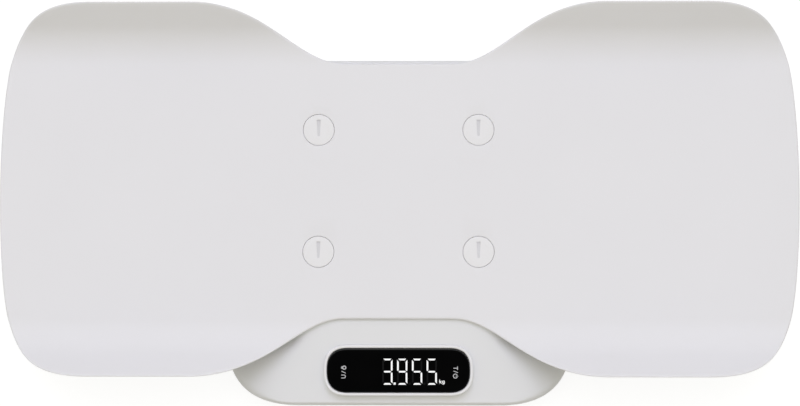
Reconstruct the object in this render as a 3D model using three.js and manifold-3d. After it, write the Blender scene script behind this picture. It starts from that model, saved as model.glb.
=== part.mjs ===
// A digital baby weighing scale, in millimetres, +Z up and +X to the viewer's right, with +Y to the rear.
// A trough-shaped tray is held on a low base by four quarter-turn locks. The base is two shells that
// hold the display, the circuit board and four batteries, and it stands on four load-cell feet.
// The origin is on the floor under the middle of the whole scale.
import * as THREE from "three";
import { mergeVertices } from "three/addons/utils/BufferGeometryUtils.js";
import Module from "manifold-3d";

const wasm = await Module();
wasm.setup();

// Clearances and modelling values
const seatGap = 0.3;
const overrun = 5;
const mergeWithin = 1e-4;
const roundSides = 24;
const hiddenSides = 16;
const screwSides = 10;
const wireSides = 6;
const stadiumSteps = 10;

// Tray
const trayLength = 550;
const trayDepth = 254.2;
const trayThickness = 3;
const waistDepth = 176;
const waistFlatLength = 74;
const shoulderLength = 104.5;
const cornerLength = 65.5;
const wallBendRadius = 32;
const wallBendDegrees = 50;
const wallBendSteps = 5;
const shoulderShares = [[0, 0], [0.308, 0], [0.484, 1], [1, 1]];
const cornerShares = [[0, 1], [0.485, 1], [0.774, 0.924], [0.899, 0.693], [0.947, 0.605], [1, 0.334], [1, 0]];
const shoulderSteps = 9;
const cornerSteps = 6;
const endSteps = 4;

// Base shells
const baseWidth = 239;
const rearShowing = 3.7;
const displayHousingDepth = 59.5;
const baseHeight = 30;
const floorClearance = 6;
const coverWall = 2.4;
const partingRise = 8;
const skirtHeight = 5;
const rearCornerSize = 40;
const frontCornerWidth = 50;
const frontCornerDepth = 46;
const undersideRound = 3;
const undersideRoundShares = [[1, 0], [0.3, 0.3], [0, 1]];
const lipRise = 2.4;
const lipWall = 1.4;
const deckHalfWidth = 62;
const deckEdgeRun = 2.8;
const deckRearCorner = 19;
const deckFoldPastWaist = 2;
const deckTiltDegrees = 8.5;
const deckFlareWidth = 22;
const deckFlareDepth = 36;
const deckFrontHalf = 74;
const softSlope = [[0, 0], [0.45, 0.12], [0.45, 1], [1, 1]];
const creasedSlope = [[0, 0], [0.65, 0.1], [0.75, 0.92], [1, 1]];
const roundSlope = [[0, 0], [0.02, 0.5], [0.35, 0.98], [1, 1]];
const softBehindFold = 15;
const creasedPastFold = 15;
const rearRoundRun = 28;
const slopeSteps = 8;

// Quarter-turn locks between tray and base
const lockSpacingX = 110;
const lockSpacingY = 84;
const lockHeadDiameter = 21.4;
const lockHeadHeight = 2.4;
const lockHeadChamfer = 0.5;
const lockHeadSunk = 0.1;
const lockShankDiameter = 12;
const lockLugLength = 21.4;
const lockLugWidth = 5;
const lockLugHeight = 3;
const lockFit = 0.4;
const pointerRear = 7;
const pointerFront = 4.2;
const pointerRearWidth = 2.7;
const pointerFrontWidth = 1;
const pointerDepth = 1.3;
const trayBossWall = 2;
const trayBossHeight = 3;
const socketFloor = 2.4;
const socketWall = 2;
const stopPostWidth = 6;
const stopPostHeight = 2.4;

// Display
const windowLength = 98;
const windowWidth = 30.2;
const windowThickness = 2;
const windowSunk = 0.6;
const bezelLip = 2;
const bezelProudAtRear = 1.5;
const bezelFromBaseFront = 6.9;
const ledgeWidth = 3;
const bezelTabReach = 5;
const bezelTabWidth = 18;
const bezelTabHeight = 2;
const ledModuleLength = 48.5;
const ledModuleWidth = 21;
const ledModuleHeight = 7.3;
const ledModuleRightOfCentre = 9.7;
const touchKeySpacing = 77.4;
const touchSpringDiameter = 6.4;
const touchSpringWire = 0.8;
const touchSpringTurns = 3;

// Circuit board and what is on it
const boardLength = 105;
const boardWidth = 33;
const boardThickness = 1.6;
const boardScrewInset = 3.6;
const boardScrewDiameter = 2;
const boardScrewHeadDiameter = 4;
const boardScrewHeadHeight = 1.4;
const boardScrewLength = 8;
const boardPostSpacing = 60;
const boardPostDiameter = 6;
const chipSize = 9;
const chipHeight = 1.4;
const chipRightOfCentre = 24;
const converterLength = 10;
const converterWidth = 4;
const converterLeftOfCentre = 39.5;
const connectorDepth = 6;
const connectorHeight = 4.6;
const cellConnectorLength = 20;
const cellConnectorLeftOfCentre = 12;
const batteryConnectorLength = 9;
const batteryConnectorRightOfCentre = 11;

// Batteries and their compartment
const batteryCount = 4;
const batteryDiameter = 10.3;
const batteryBodyLength = 43.3;
const batteryNubDiameter = 5.2;
const batteryNubLength = 1.2;
const batteryPitch = 10.8;
const batteryAboveFloor = 1.7;
const compartmentCentreY = 22;
const compartmentLength = 51.6;
const compartmentSideGap = 0.5;
const compartmentWall = 2;
const contactThickness = 0.5;
const contactHeight = 6.2;
const contactInsetGap = 0.5;
const contactSpringDiameter = 5.6;
const contactSpringWire = 0.7;
const contactSpringTurns = 3;
const doorThickness = 2;
const doorEdgeGap = 0.4;
const doorSunk = 0.1;
const doorTongueWidth = 8;
const doorTongueSpacing = 26;
const doorTongueReach = 2.2;
const doorTongueThickness = 1;
const doorLatchWidth = 12;
const doorLatchReach = 5;
const doorLatchRise = 3;
const doorLatchThickness = 1.4;
const doorLatchPlay = 0.7;
const doorGripCount = 4;
const doorGripPitch = 2.4;
const doorGripWidth = 14;
const doorGripDepth = 0.6;

// Load-cell feet
const rearFootSideInset = 27.5;
const rearFootInset = 32.7;
const frontFootSideInset = 29.5;
const frontFootInset = 35.5;
const wellDiameter = 40;
const wellDepth = 7.5;
const cellDiameter = 36;
const cellThickness = 1.5;
const cellRimHeight = 1.2;
const cellRimWidth = 4;
const cellTongueDiameter = 20;
const cellSlotWidth = 2.5;
const cellNeckDegrees = 60;
const cellClipReach = 2.6;
const cellClipWidth = 5;
const cellClipHeight = 0.8;
const footDiameter = 33;
const footBodyHeight = 7;
const footBossDiameter = 10;
const padDiameter = 28;
const padThickness = 3.5;
const padRecess = 1.8;
const wireNotchWidth = 4;
const wireNotchHeight = 3;

// Fasteners and wires
const caseScrewHeadDiameter = 6;
const caseScrewHeadHeight = 2;
const caseScrewDiameter = 3;
const caseScrewLength = 8.3;
const caseScrewSunk = 1.8;
const screwPostWall = 1.8;
const screwBossDiameter = 8;
const rearScrewSideInset = 63.5;
const rearScrewInset = 16.7;
const middleScrewSideInset = 13.5;
const middleScrewFromCentre = 30;
const frontScrewPastBoard = 14.5;
const frontScrewInset = 13.5;
const cellWireDiameter = 2;
const batteryWireDiameter = 1.4;

// Heights of the main faces above the floor
const baseBottom = floorClearance;
const baseTop = baseBottom + baseHeight;
const floorTop = baseBottom + coverWall;
const partingHeight = baseBottom + partingRise;
const upperCoverBottom = partingHeight + seatGap;
const trayBottom = baseTop + seatGap;
const trayTop = trayBottom + trayThickness;
const wellRoof = baseBottom + wellDepth;

// Places worked out from the sizes above
const halfLength = trayLength / 2;
const rimHalf = trayDepth / 2;
const waistHalf = waistDepth / 2;
const baseHalf = baseWidth / 2;
const baseRear = waistHalf + rearShowing;
const baseFront = waistHalf + displayHousingDepth;
const wallBendAngle = THREE.MathUtils.degToRad(wallBendDegrees);
const deckTilt = THREE.MathUtils.degToRad(deckTiltDegrees);
const deckFold = waistHalf + deckFoldPastWaist;
const bezelLength = windowLength + 2 * (seatGap + bezelLip);
const bezelWidth = windowWidth + 2 * (seatGap + bezelLip);
const displayY = -(baseFront - bezelFromBaseFront - bezelWidth / 2);
const bezelTop = deckHeightAt(displayY + bezelWidth / 2) + bezelProudAtRear;
const windowTop = bezelTop - windowSunk;
const windowBottom = windowTop - windowThickness;
const ledgeTop = windowBottom - seatGap;
const boardTop = ledgeTop - seatGap - ledModuleHeight - seatGap;
const boardBottom = boardTop - boardThickness;
const bezelBottom = boardTop + seatGap;
const compartmentWidth = batteryCount * batteryPitch + 2 * compartmentSideGap;
const batteryHeight = floorTop + batteryAboveFloor + batteryDiameter / 2;
const compartmentRoof = batteryHeight + batteryDiameter / 2 + compartmentSideGap;
const batteryLength = batteryBodyLength + batteryNubLength;
const batteryPlay = compartmentLength - 2 * (contactInsetGap + contactThickness) - batteryLength;
const batteryShift = batteryPlay / 2 - seatGap;
const compartmentRear = compartmentCentreY + compartmentLength / 2;
const compartmentFront = compartmentCentreY - compartmentLength / 2;
const doorFront = compartmentFront + doorEdgeGap;
const screwHeadTop = baseBottom + caseScrewSunk + caseScrewHeadHeight;
const screwPostTop = screwHeadTop + seatGap + screwPostWall;
const socketFloorTop = trayBottom - trayBossHeight - seatGap;
const socketFloorBottom = socketFloorTop - socketFloor;
const trayBossRadius = lockHeadDiameter / 2 + lockFit + trayBossWall;
const socketRadius = trayBossRadius + lockFit;
const cellTop = wellRoof - cellRimHeight - seatGap;
const cellBottom = cellTop - cellThickness;
const footTop = cellBottom - seatGap;
const padSeat = padThickness + seatGap;
const footBottom = padSeat - padRecess;

const sides = [["left", -1], ["right", 1]];
const rows = [["rear", 1], ["front", -1]];
const footPlaces = [];
for (const [row, ySign] of rows) {
  for (const [side, xSign] of sides) {
    const x = xSign * (baseHalf - (ySign > 0 ? rearFootSideInset : frontFootSideInset));
    const y = ySign > 0 ? baseRear - rearFootInset : frontFootInset - baseFront;
    footPlaces.push({ name: `${row}_${side}`, x, y, xSign });
  }
}
const lockPlaces = [];
for (const [row, ySign] of rows) {
  for (const [side, xSign] of sides) {
    lockPlaces.push({ name: `${row}_${side}`, x: xSign * lockSpacingX / 2, y: ySign * lockSpacingY / 2 });
  }
}
const screwPlaces = [];
for (const [side, xSign] of sides) {
  const spots = {
    rear: [baseHalf - rearScrewSideInset, baseRear - rearScrewInset],
    middle: [baseHalf - middleScrewSideInset, -middleScrewFromCentre],
    front: [boardLength / 2 + frontScrewPastBoard, frontScrewInset - baseFront],
  };
  for (const [row, [x, y]] of Object.entries(spots)) {
    screwPlaces.push({ name: `${row}_${side}`, x: xSign * x, y });
  }
}

// Finishes
const white = new THREE.MeshStandardMaterial({ color: 0xe2e1e4, roughness: 0.38, metalness: 0 });
const housingWhite = new THREE.MeshStandardMaterial({ color: 0xdcdcde, roughness: 0.42, metalness: 0 });
const brightWhite = new THREE.MeshStandardMaterial({ color: 0xe9e9eb, roughness: 0.3, metalness: 0 });
const windowBlack = new THREE.MeshStandardMaterial({ color: 0x060606, roughness: 0.12, metalness: 0 });
const blackPlastic = new THREE.MeshStandardMaterial({ color: 0x18181a, roughness: 0.5, metalness: 0 });
const connectorCream = new THREE.MeshStandardMaterial({ color: 0xe8e0c8, roughness: 0.5, metalness: 0 });
const boardGreen = new THREE.MeshStandardMaterial({ color: 0x1f5a3a, roughness: 0.45, metalness: 0 });
const steel = new THREE.MeshStandardMaterial({ color: 0xb4b6b8, roughness: 0.35, metalness: 1 });
const nickel = new THREE.MeshStandardMaterial({ color: 0xc9c6bd, roughness: 0.25, metalness: 1 });
const rubber = new THREE.MeshStandardMaterial({ color: 0x4a4a4c, roughness: 0.85, metalness: 0 });
const footGrey = new THREE.MeshStandardMaterial({ color: 0xc4c4c6, roughness: 0.5, metalness: 0 });
const batteryJacket = new THREE.MeshStandardMaterial({ color: 0x3c5f86, roughness: 0.35, metalness: 0.3 });
const wireGrey = new THREE.MeshStandardMaterial({ color: 0x8a8c90, roughness: 0.6, metalness: 0 });
const wireRed = new THREE.MeshStandardMaterial({ color: 0xa82820, roughness: 0.6, metalness: 0 });
const wireBlack = new THREE.MeshStandardMaterial({ color: 0x1c1c1e, roughness: 0.6, metalness: 0 });

// Height of the base's flat top, which slopes down to the front past the fold behind the display
function deckHeightAt(y) {
  return baseTop - Math.max(0, -y - deckFold) * Math.tan(deckTilt);
}

// Solids from three.js geometry, and geometry from solids
function solidOf(geometry) {
  const bare = new THREE.BufferGeometry();
  bare.setAttribute("position", geometry.getAttribute("position"));
  if (geometry.index) bare.setIndex(geometry.index);
  const merged = mergeVertices(bare, mergeWithin);
  return new wasm.Manifold(new wasm.Mesh({
    numProp: 3,
    vertProperties: Float32Array.from(merged.getAttribute("position").array),
    triVerts: Uint32Array.from(merged.index.array),
  }));
}

function geometryOf(solid) {
  const mesh = solid.getMesh();
  const geometry = new THREE.BufferGeometry();
  geometry.setAttribute("position", new THREE.BufferAttribute(Float32Array.from(mesh.vertProperties), 3));
  geometry.setIndex(new THREE.BufferAttribute(Uint32Array.from(mesh.triVerts), 1));
  const faceted = geometry.toNonIndexed();
  faceted.computeVertexNormals();
  return faceted;
}

function joined(...solids) {
  return solids.reduce((whole, next) => whole.add(next));
}

// A box that stands on the height given, centred on x and y
function block(width, depth, height, x, y, bottom) {
  return solidOf(new THREE.BoxGeometry(width, depth, height).translate(x, y, bottom + height / 2));
}

// A round bar that stands on the height given
function rod(diameter, height, x, y, bottom, count = roundSides) {
  const bar = new THREE.CylinderGeometry(diameter / 2, diameter / 2, height, count);
  return solidOf(bar.rotateX(Math.PI / 2).translate(x, y, bottom + height / 2));
}

// A flat shape raised from the height given
function prism(shape, height, bottom, curveSegments = stadiumSteps) {
  const raised = new THREE.ExtrudeGeometry(shape, { depth: height, bevelEnabled: false, curveSegments });
  return solidOf(raised.translate(0, 0, bottom));
}

// A turned piece about Z: the profile holds [radius, height] from its foot on the axis to its top on the axis
function turned(profile, count = roundSides) {
  const points = profile.map(([radius, height]) => new THREE.Vector2(radius, height));
  return solidOf(new THREE.LatheGeometry(points, count).rotateX(Math.PI / 2));
}

function stadium(length, width, x = 0, y = 0) {
  const toEndCentre = (length - width) / 2;
  const shape = new THREE.Shape();
  shape.absarc(x + toEndCentre, y, width / 2, -Math.PI / 2, Math.PI / 2);
  shape.absarc(x - toEndCentre, y, width / 2, Math.PI / 2, 3 * Math.PI / 2);
  shape.closePath();
  return shape;
}

// A round wire or spring along a curve
function wireAlong(path, diameter, steps, count) {
  const section = [];
  for (let i = 0; i < count; i++) {
    const turn = 2 * Math.PI * i / count;
    section.push(new THREE.Vector2(Math.cos(turn), Math.sin(turn)).multiplyScalar(diameter / 2));
  }
  return new THREE.ExtrudeGeometry(new THREE.Shape(section), { steps, extrudePath: path });
}

class Helix extends THREE.Curve {
  constructor(diameter, height, turns) {
    super();
    this.radius = diameter / 2;
    this.height = height;
    this.turns = turns;
  }

  getPoint(t, target = new THREE.Vector3()) {
    const turn = 2 * Math.PI * this.turns * t;
    return target.set(this.radius * Math.cos(turn), this.radius * Math.sin(turn), this.height * t);
  }
}

const springSteps = 8;
const springSides = 4;
function coilSpring(outerDiameter, wire, height, turns) {
  const path = new Helix(outerDiameter - wire, height - wire, turns);
  return wireAlong(path, wire, springSteps * turns, springSides).translate(0, 0, wire / 2);
}

// Outlines seen from above. Each runs along the right half from the front centre to the rear centre,
// and the left half is its mirror image.
function closedOutline(pieces) {
  const right = [];
  for (const [curve, steps] of pieces) {
    for (let i = 0; i < steps; i++) right.push(curve.getPoint(i / steps));
  }
  right.push(pieces.at(-1)[0].getPoint(1));
  const left = right.slice(1, -1).reverse().map((p) => new THREE.Vector2(-p.x, p.y));
  return [...right, ...left];
}

const planPoint = ([x, y]) => new THREE.Vector2(x, y);
const straight = (x1, y1, x2, y2) => new THREE.LineCurve(planPoint([x1, y1]), planPoint([x2, y2]));
const bend = (...points) => new THREE.CubicBezierCurve(...points.map(planPoint));

// The tray's butterfly outline: one quarter is the waist, a shoulder up to the rim, and a full corner
function trayQuarter() {
  const shoulderStart = waistFlatLength / 2;
  const shoulder = shoulderShares.map(([along, across]) => [
    shoulderStart + along * shoulderLength,
    waistHalf + across * (rimHalf - waistHalf),
  ]);
  const corner = cornerShares.map(([along, across]) => [
    halfLength - cornerLength + along * cornerLength,
    across * rimHalf,
  ]);
  return { shoulderStart, shoulder, corner };
}

function trayOutline() {
  const { shoulderStart, shoulder, corner } = trayQuarter();
  const front = (points) => points.map(([x, y]) => [x, -y]);
  const back = (points) => [...points].reverse();
  return closedOutline([
    [straight(0, -waistHalf, shoulderStart, -waistHalf), 1],
    [bend(...front(shoulder)), shoulderSteps],
    [straight(shoulder[3][0], -rimHalf, corner[0][0], -rimHalf), 1],
    [bend(...front(corner.slice(0, 4))), cornerSteps],
    [bend(...front(corner.slice(3))), endSteps],
    [bend(...back(corner.slice(3))), endSteps],
    [bend(...back(corner.slice(0, 4))), cornerSteps],
    [straight(corner[0][0], rimHalf, shoulder[3][0], rimHalf), 1],
    [bend(...back(shoulder)), shoulderSteps],
    [straight(shoulderStart, waistHalf, 0, waistHalf), 1],
  ]);
}

// The base's outline, and the edge of its flat top, in matching pieces so that a skin can join them
const frontCornerHandleShare = 0.72;
const sideHandleShare = 0.6;
const rearHandleShare = 0.58;
const frontCornerSteps = 6;
const flareSteps = 4;
const sideSteps = 2;
const rearCornerSteps = 5;

function baseOutline(inset) {
  const w = baseHalf - inset;
  const f = baseFront - inset;
  const r = baseRear - inset;
  const cornerW = frontCornerWidth - inset;
  const cornerD = frontCornerDepth - inset;
  const rear = rearCornerSize - inset;
  return closedOutline([
    [straight(0, -f, w - cornerW, -f), 1],
    [bend(
      [w - cornerW, -f],
      [w - cornerW + frontCornerHandleShare * cornerW, -f],
      [w, -f + cornerD - sideHandleShare * cornerD],
      [w, -f + cornerD],
    ), frontCornerSteps],
    [straight(w, -f + cornerD, w, -f + cornerD + deckFlareDepth), flareSteps],
    [straight(w, -f + cornerD + deckFlareDepth, w, r - rear), sideSteps],
    [bend(
      [w, r - rear],
      [w, r - rear + rearHandleShare * rear],
      [w - rear + rearHandleShare * rear, r],
      [w - rear, r],
    ), rearCornerSteps],
    [straight(w - rear, r, 0, r), 1],
  ]);
}

const flareFoldShare = 0.4;
const flareTipShare = 0.33;
const deckTipWidthShare = 0.86;
function deckOutline(inset) {
  const w = deckHalfWidth - inset;
  const f = baseFront - deckEdgeRun - inset;
  const r = baseRear - deckEdgeRun - inset;
  const flareX = w + deckFlareWidth;
  const flareY = -deckFold - deckFlareDepth + inset;
  const frontHalf = deckFrontHalf - inset;
  const tipX = frontHalf + deckTipWidthShare * deckFlareWidth;
  const flareSlope = deckFlareDepth / deckFlareWidth;
  const tipRun = flareTipShare * deckFlareWidth;
  return closedOutline([
    [straight(0, -f, frontHalf, -f), 1],
    [bend([frontHalf, -f], [tipX, -f], [flareX + tipRun, flareY - tipRun * flareSlope], [flareX, flareY]),
      frontCornerSteps],
    [bend([flareX, flareY], [flareX - tipRun, flareY + tipRun * flareSlope],
      [w, -deckFold - flareFoldShare * deckFlareDepth], [w, -deckFold]), flareSteps],
    [straight(w, -deckFold, w, r - deckRearCorner), sideSteps],
    [bend(
      [w, r - deckRearCorner],
      [w, r - deckRearCorner + rearHandleShare * deckRearCorner],
      [w - deckRearCorner + rearHandleShare * deckRearCorner, r],
      [w - deckRearCorner, r],
    ), rearCornerSteps],
    [straight(w - deckRearCorner, r, 0, r), 1],
  ]);
}

// A skin through rings of points, lowest first. Both end rings are closed, the top one in two flat parts
// where it folds: the part in front of the fold slopes.
function skin(rings, foldAt = null) {
  const count = rings[0].length;
  const positions = rings.flat().flatMap((p) => [p.x, p.y, p.z]);
  const index = [];
  for (let level = 0; level + 1 < rings.length; level++) {
    for (let i = 0; i < count; i++) {
      const next = (i + 1) % count;
      const low = level * count;
      const high = low + count;
      index.push(low + i, low + next, high + next, low + i, high + next, high + i);
    }
  }
  const close = (level, members, up) => {
    const flat = members.map((i) => new THREE.Vector2(rings[level][i].x, rings[level][i].y));
    for (const face of THREE.ShapeUtils.triangulateShape(flat, [])) {
      const [a, b, c] = face.map((i) => level * count + members[i]);
      index.push(...(up ? [a, b, c] : [a, c, b]));
    }
  };
  const all = rings[0].map((_, i) => i);
  close(0, all, false);
  const top = rings.length - 1;
  if (foldAt === null) {
    close(top, all, true);
  } else {
    close(top, all.filter((i) => rings[top][i].y >= foldAt - mergeWithin), true);
    close(top, all.filter((i) => rings[top][i].y <= foldAt + mergeWithin), true);
  }
  const geometry = new THREE.BufferGeometry();
  geometry.setAttribute("position", new THREE.Float32BufferAttribute(positions, 3));
  geometry.setIndex(index);
  return solidOf(geometry);
}

const ringAt = (outline, z) => outline.map((p) => new THREE.Vector3(p.x, p.y, z));

// The slope's shape from the front of the flat top's edge to its rear: round, creased, soft and round
const slopeStations = [
  [deckEdgeRun - baseFront, roundSlope],
  [-deckFold - creasedPastFold, creasedSlope],
  [-deckFold + softBehindFold, softSlope],
  [baseRear - deckEdgeRun - rearRoundRun, softSlope],
  [baseRear - deckEdgeRun, roundSlope],
];
function slopeAt(y) {
  const last = slopeStations.length - 1;
  const found = slopeStations.findIndex(([station]) => station > y);
  const after = THREE.MathUtils.clamp(found < 0 ? last : found, 1, last);
  const [start, near] = slopeStations[after - 1];
  const [end, far] = slopeStations[after];
  const share = THREE.MathUtils.clamp((y - start) / (end - start), 0, 1);
  return bend(...near.map((point, i) => point.map((value, k) => THREE.MathUtils.lerp(value, far[i][k], share))));
}

// The upper cover's outer or inner form: a skirt, then a slope up to the flat top
function coverForm(inset, bottom) {
  const outer = baseOutline(inset);
  const top = deckOutline(inset);
  const slopes = top.map((p) => slopeAt(p.y));
  const skirtTop = upperCoverBottom + skirtHeight - inset;
  const rings = [ringAt(outer, bottom)];
  for (let step = 0; step <= slopeSteps; step++) {
    rings.push(outer.map((p, i) => {
      const { x: across, y: up } = slopes[i].getPoint(step / slopeSteps);
      const place = p.clone().lerp(top[i], across);
      const height = skirtTop + (deckHeightAt(top[i].y) - inset - skirtTop) * up;
      return new THREE.Vector3(place.x, place.y, height);
    }));
  }
  return skin(rings, -deckFold);
}

// Tray: a trough bent up along its long edges, cut to the butterfly outline, with a seat for each lock
function trayProfile() {
  const face = (radius) => {
    const points = [];
    for (let i = 0; i <= wallBendSteps; i++) {
      const angle = wallBendAngle * i / wallBendSteps;
      const height = trayTop + wallBendRadius - radius * Math.cos(angle);
      points.push([waistHalf + radius * Math.sin(angle), height]);
    }
    const [y, z] = points.at(-1);
    const past = Math.max(rimHalf, y) + overrun;
    points.push([past, z + (past - y) * Math.tan(wallBendAngle)]);
    return points;
  };
  const across = (points) => [...points.map(([y, z]) => [-y, z]).reverse(), ...points];
  const upper = across(face(wallBendRadius));
  const lower = across(face(wallBendRadius + trayThickness));
  return new THREE.Shape([...lower, ...upper.reverse()].map(([y, z]) => new THREE.Vector2(y, z)));
}

// The hole that a lock's lug passes through when its pointer faces the front, its length along X
function keyhole(x, y, bottom, height) {
  const length = lockLugLength + 2 * lockFit;
  const slot = block(length, lockLugWidth + 2 * lockFit, height, x, y, bottom);
  return slot.add(rod(lockShankDiameter + 2 * lockFit, height, x, y, bottom));
}

function makeTray() {
  const toTrayAxes = new THREE.Matrix4().makeBasis(
    new THREE.Vector3(0, 1, 0),
    new THREE.Vector3(0, 0, 1),
    new THREE.Vector3(1, 0, 0),
  );
  const reach = trayLength + 2 * overrun;
  const trough = new THREE.ExtrudeGeometry(trayProfile(), { depth: reach, bevelEnabled: false });
  trough.applyMatrix4(toTrayAxes).translate(-halfLength - overrun, 0, 0);
  const cutter = prism(new THREE.Shape(trayOutline()), trayDepth, 0);
  let tray = solidOf(trough).intersect(cutter);
  const bossBottom = trayBottom - trayBossHeight;
  const seat = trayTop - lockHeadSunk - lockHeadHeight - seatGap;
  for (const { x, y } of lockPlaces) {
    tray = tray.add(rod(2 * trayBossRadius, trayBossHeight + trayThickness / 2, x, y, bossBottom));
    tray = tray.subtract(rod(lockHeadDiameter + 2 * lockFit, trayTop - seat + overrun, x, y, seat));
    tray = tray.subtract(keyhole(x, y, bossBottom - overrun, seat - bossBottom + 2 * overrun));
  }
  return tray;
}

// Lock: a round head with a tapered pointer groove, a shank, and a cross lug under the base's socket
function makeLock() {
  const headTop = trayTop - lockHeadSunk;
  const headBottom = headTop - lockHeadHeight;
  const headRadius = lockHeadDiameter / 2;
  const shankRadius = lockShankDiameter / 2;
  const lugTop = socketFloorBottom - seatGap;
  const body = turned([
    [0, lugTop],
    [shankRadius, lugTop],
    [shankRadius, headBottom],
    [headRadius, headBottom],
    [headRadius, headTop - lockHeadChamfer],
    [headRadius - lockHeadChamfer, headTop],
    [0, headTop],
  ]);
  const lug = block(lockLugLength, lockLugWidth, lockLugHeight + seatGap, 0, 0, lugTop - lockLugHeight);
  const plan = new THREE.Shape([
    new THREE.Vector2(-pointerRearWidth / 2, pointerRear),
    new THREE.Vector2(-pointerFrontWidth / 2, -pointerFront),
    new THREE.Vector2(pointerFrontWidth / 2, -pointerFront),
    new THREE.Vector2(pointerRearWidth / 2, pointerRear),
  ]);
  const ramp = new THREE.Shape([
    new THREE.Vector2(-pointerFront, headTop),
    new THREE.Vector2(pointerRear + overrun, headTop - pointerDepth),
    new THREE.Vector2(pointerRear + overrun, headTop + overrun),
    new THREE.Vector2(-pointerFront, headTop + overrun),
  ]);
  const rampAxes = new THREE.Matrix4().makeBasis(
    new THREE.Vector3(0, 1, 0),
    new THREE.Vector3(0, 0, 1),
    new THREE.Vector3(1, 0, 0),
  );
  const rampSolid = new THREE.ExtrudeGeometry(ramp, { depth: lockHeadDiameter, bevelEnabled: false })
    .applyMatrix4(rampAxes)
    .translate(-headRadius, 0, 0);
  const groove = prism(plan, lockHeadHeight + overrun, headBottom).intersect(solidOf(rampSolid));
  return body.add(lug).subtract(groove);
}

// Upper cover: a shell with a socket for each lock, screw bosses and the display's opening
function makeUpperCover() {
  const outside = coverForm(0, upperCoverBottom);
  let cover = outside.subtract(coverForm(coverWall, upperCoverBottom - overrun));
  for (const { x, y } of lockPlaces) {
    const cup = rod(2 * (socketRadius + socketWall), baseTop - socketFloorBottom, x, y, socketFloorBottom);
    cover = cover.add(cup.intersect(outside));
    const postInner = lockLugWidth / 2 + lockFit;
    for (const sign of [1, -1]) {
      const offset = sign * (postInner + stopPostWidth / 2);
      const postBottom = socketFloorBottom - stopPostHeight;
      const postRise = stopPostHeight + socketFloor / 2;
      cover = cover.add(block(stopPostWidth, stopPostWidth, postRise, x + offset, y - offset, postBottom));
    }
    cover = cover.subtract(rod(2 * socketRadius, baseTop - socketFloorTop + overrun, x, y, socketFloorTop));
    cover = cover.subtract(keyhole(x, y, socketFloorBottom - seatGap, socketFloor + 2 * seatGap));
  }
  for (const { x, y } of screwPlaces) {
    const bossBottom = screwPostTop + seatGap;
    const boss = rod(screwBossDiameter, baseTop - bossBottom, x, y, bossBottom, screwSides);
    cover = cover.add(boss.intersect(outside));
    const holeDiameter = caseScrewDiameter + 2 * seatGap;
    const holeDepth = screwHeadTop + caseScrewLength + seatGap - bossBottom;
    cover = cover.subtract(rod(holeDiameter, holeDepth + overrun, x, y, bossBottom - overrun, screwSides));
  }
  const opening = stadium(bezelLength + 2 * seatGap, bezelWidth + 2 * seatGap, 0, displayY);
  return cover.subtract(prism(opening, baseHeight, bezelBottom));
}

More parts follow.
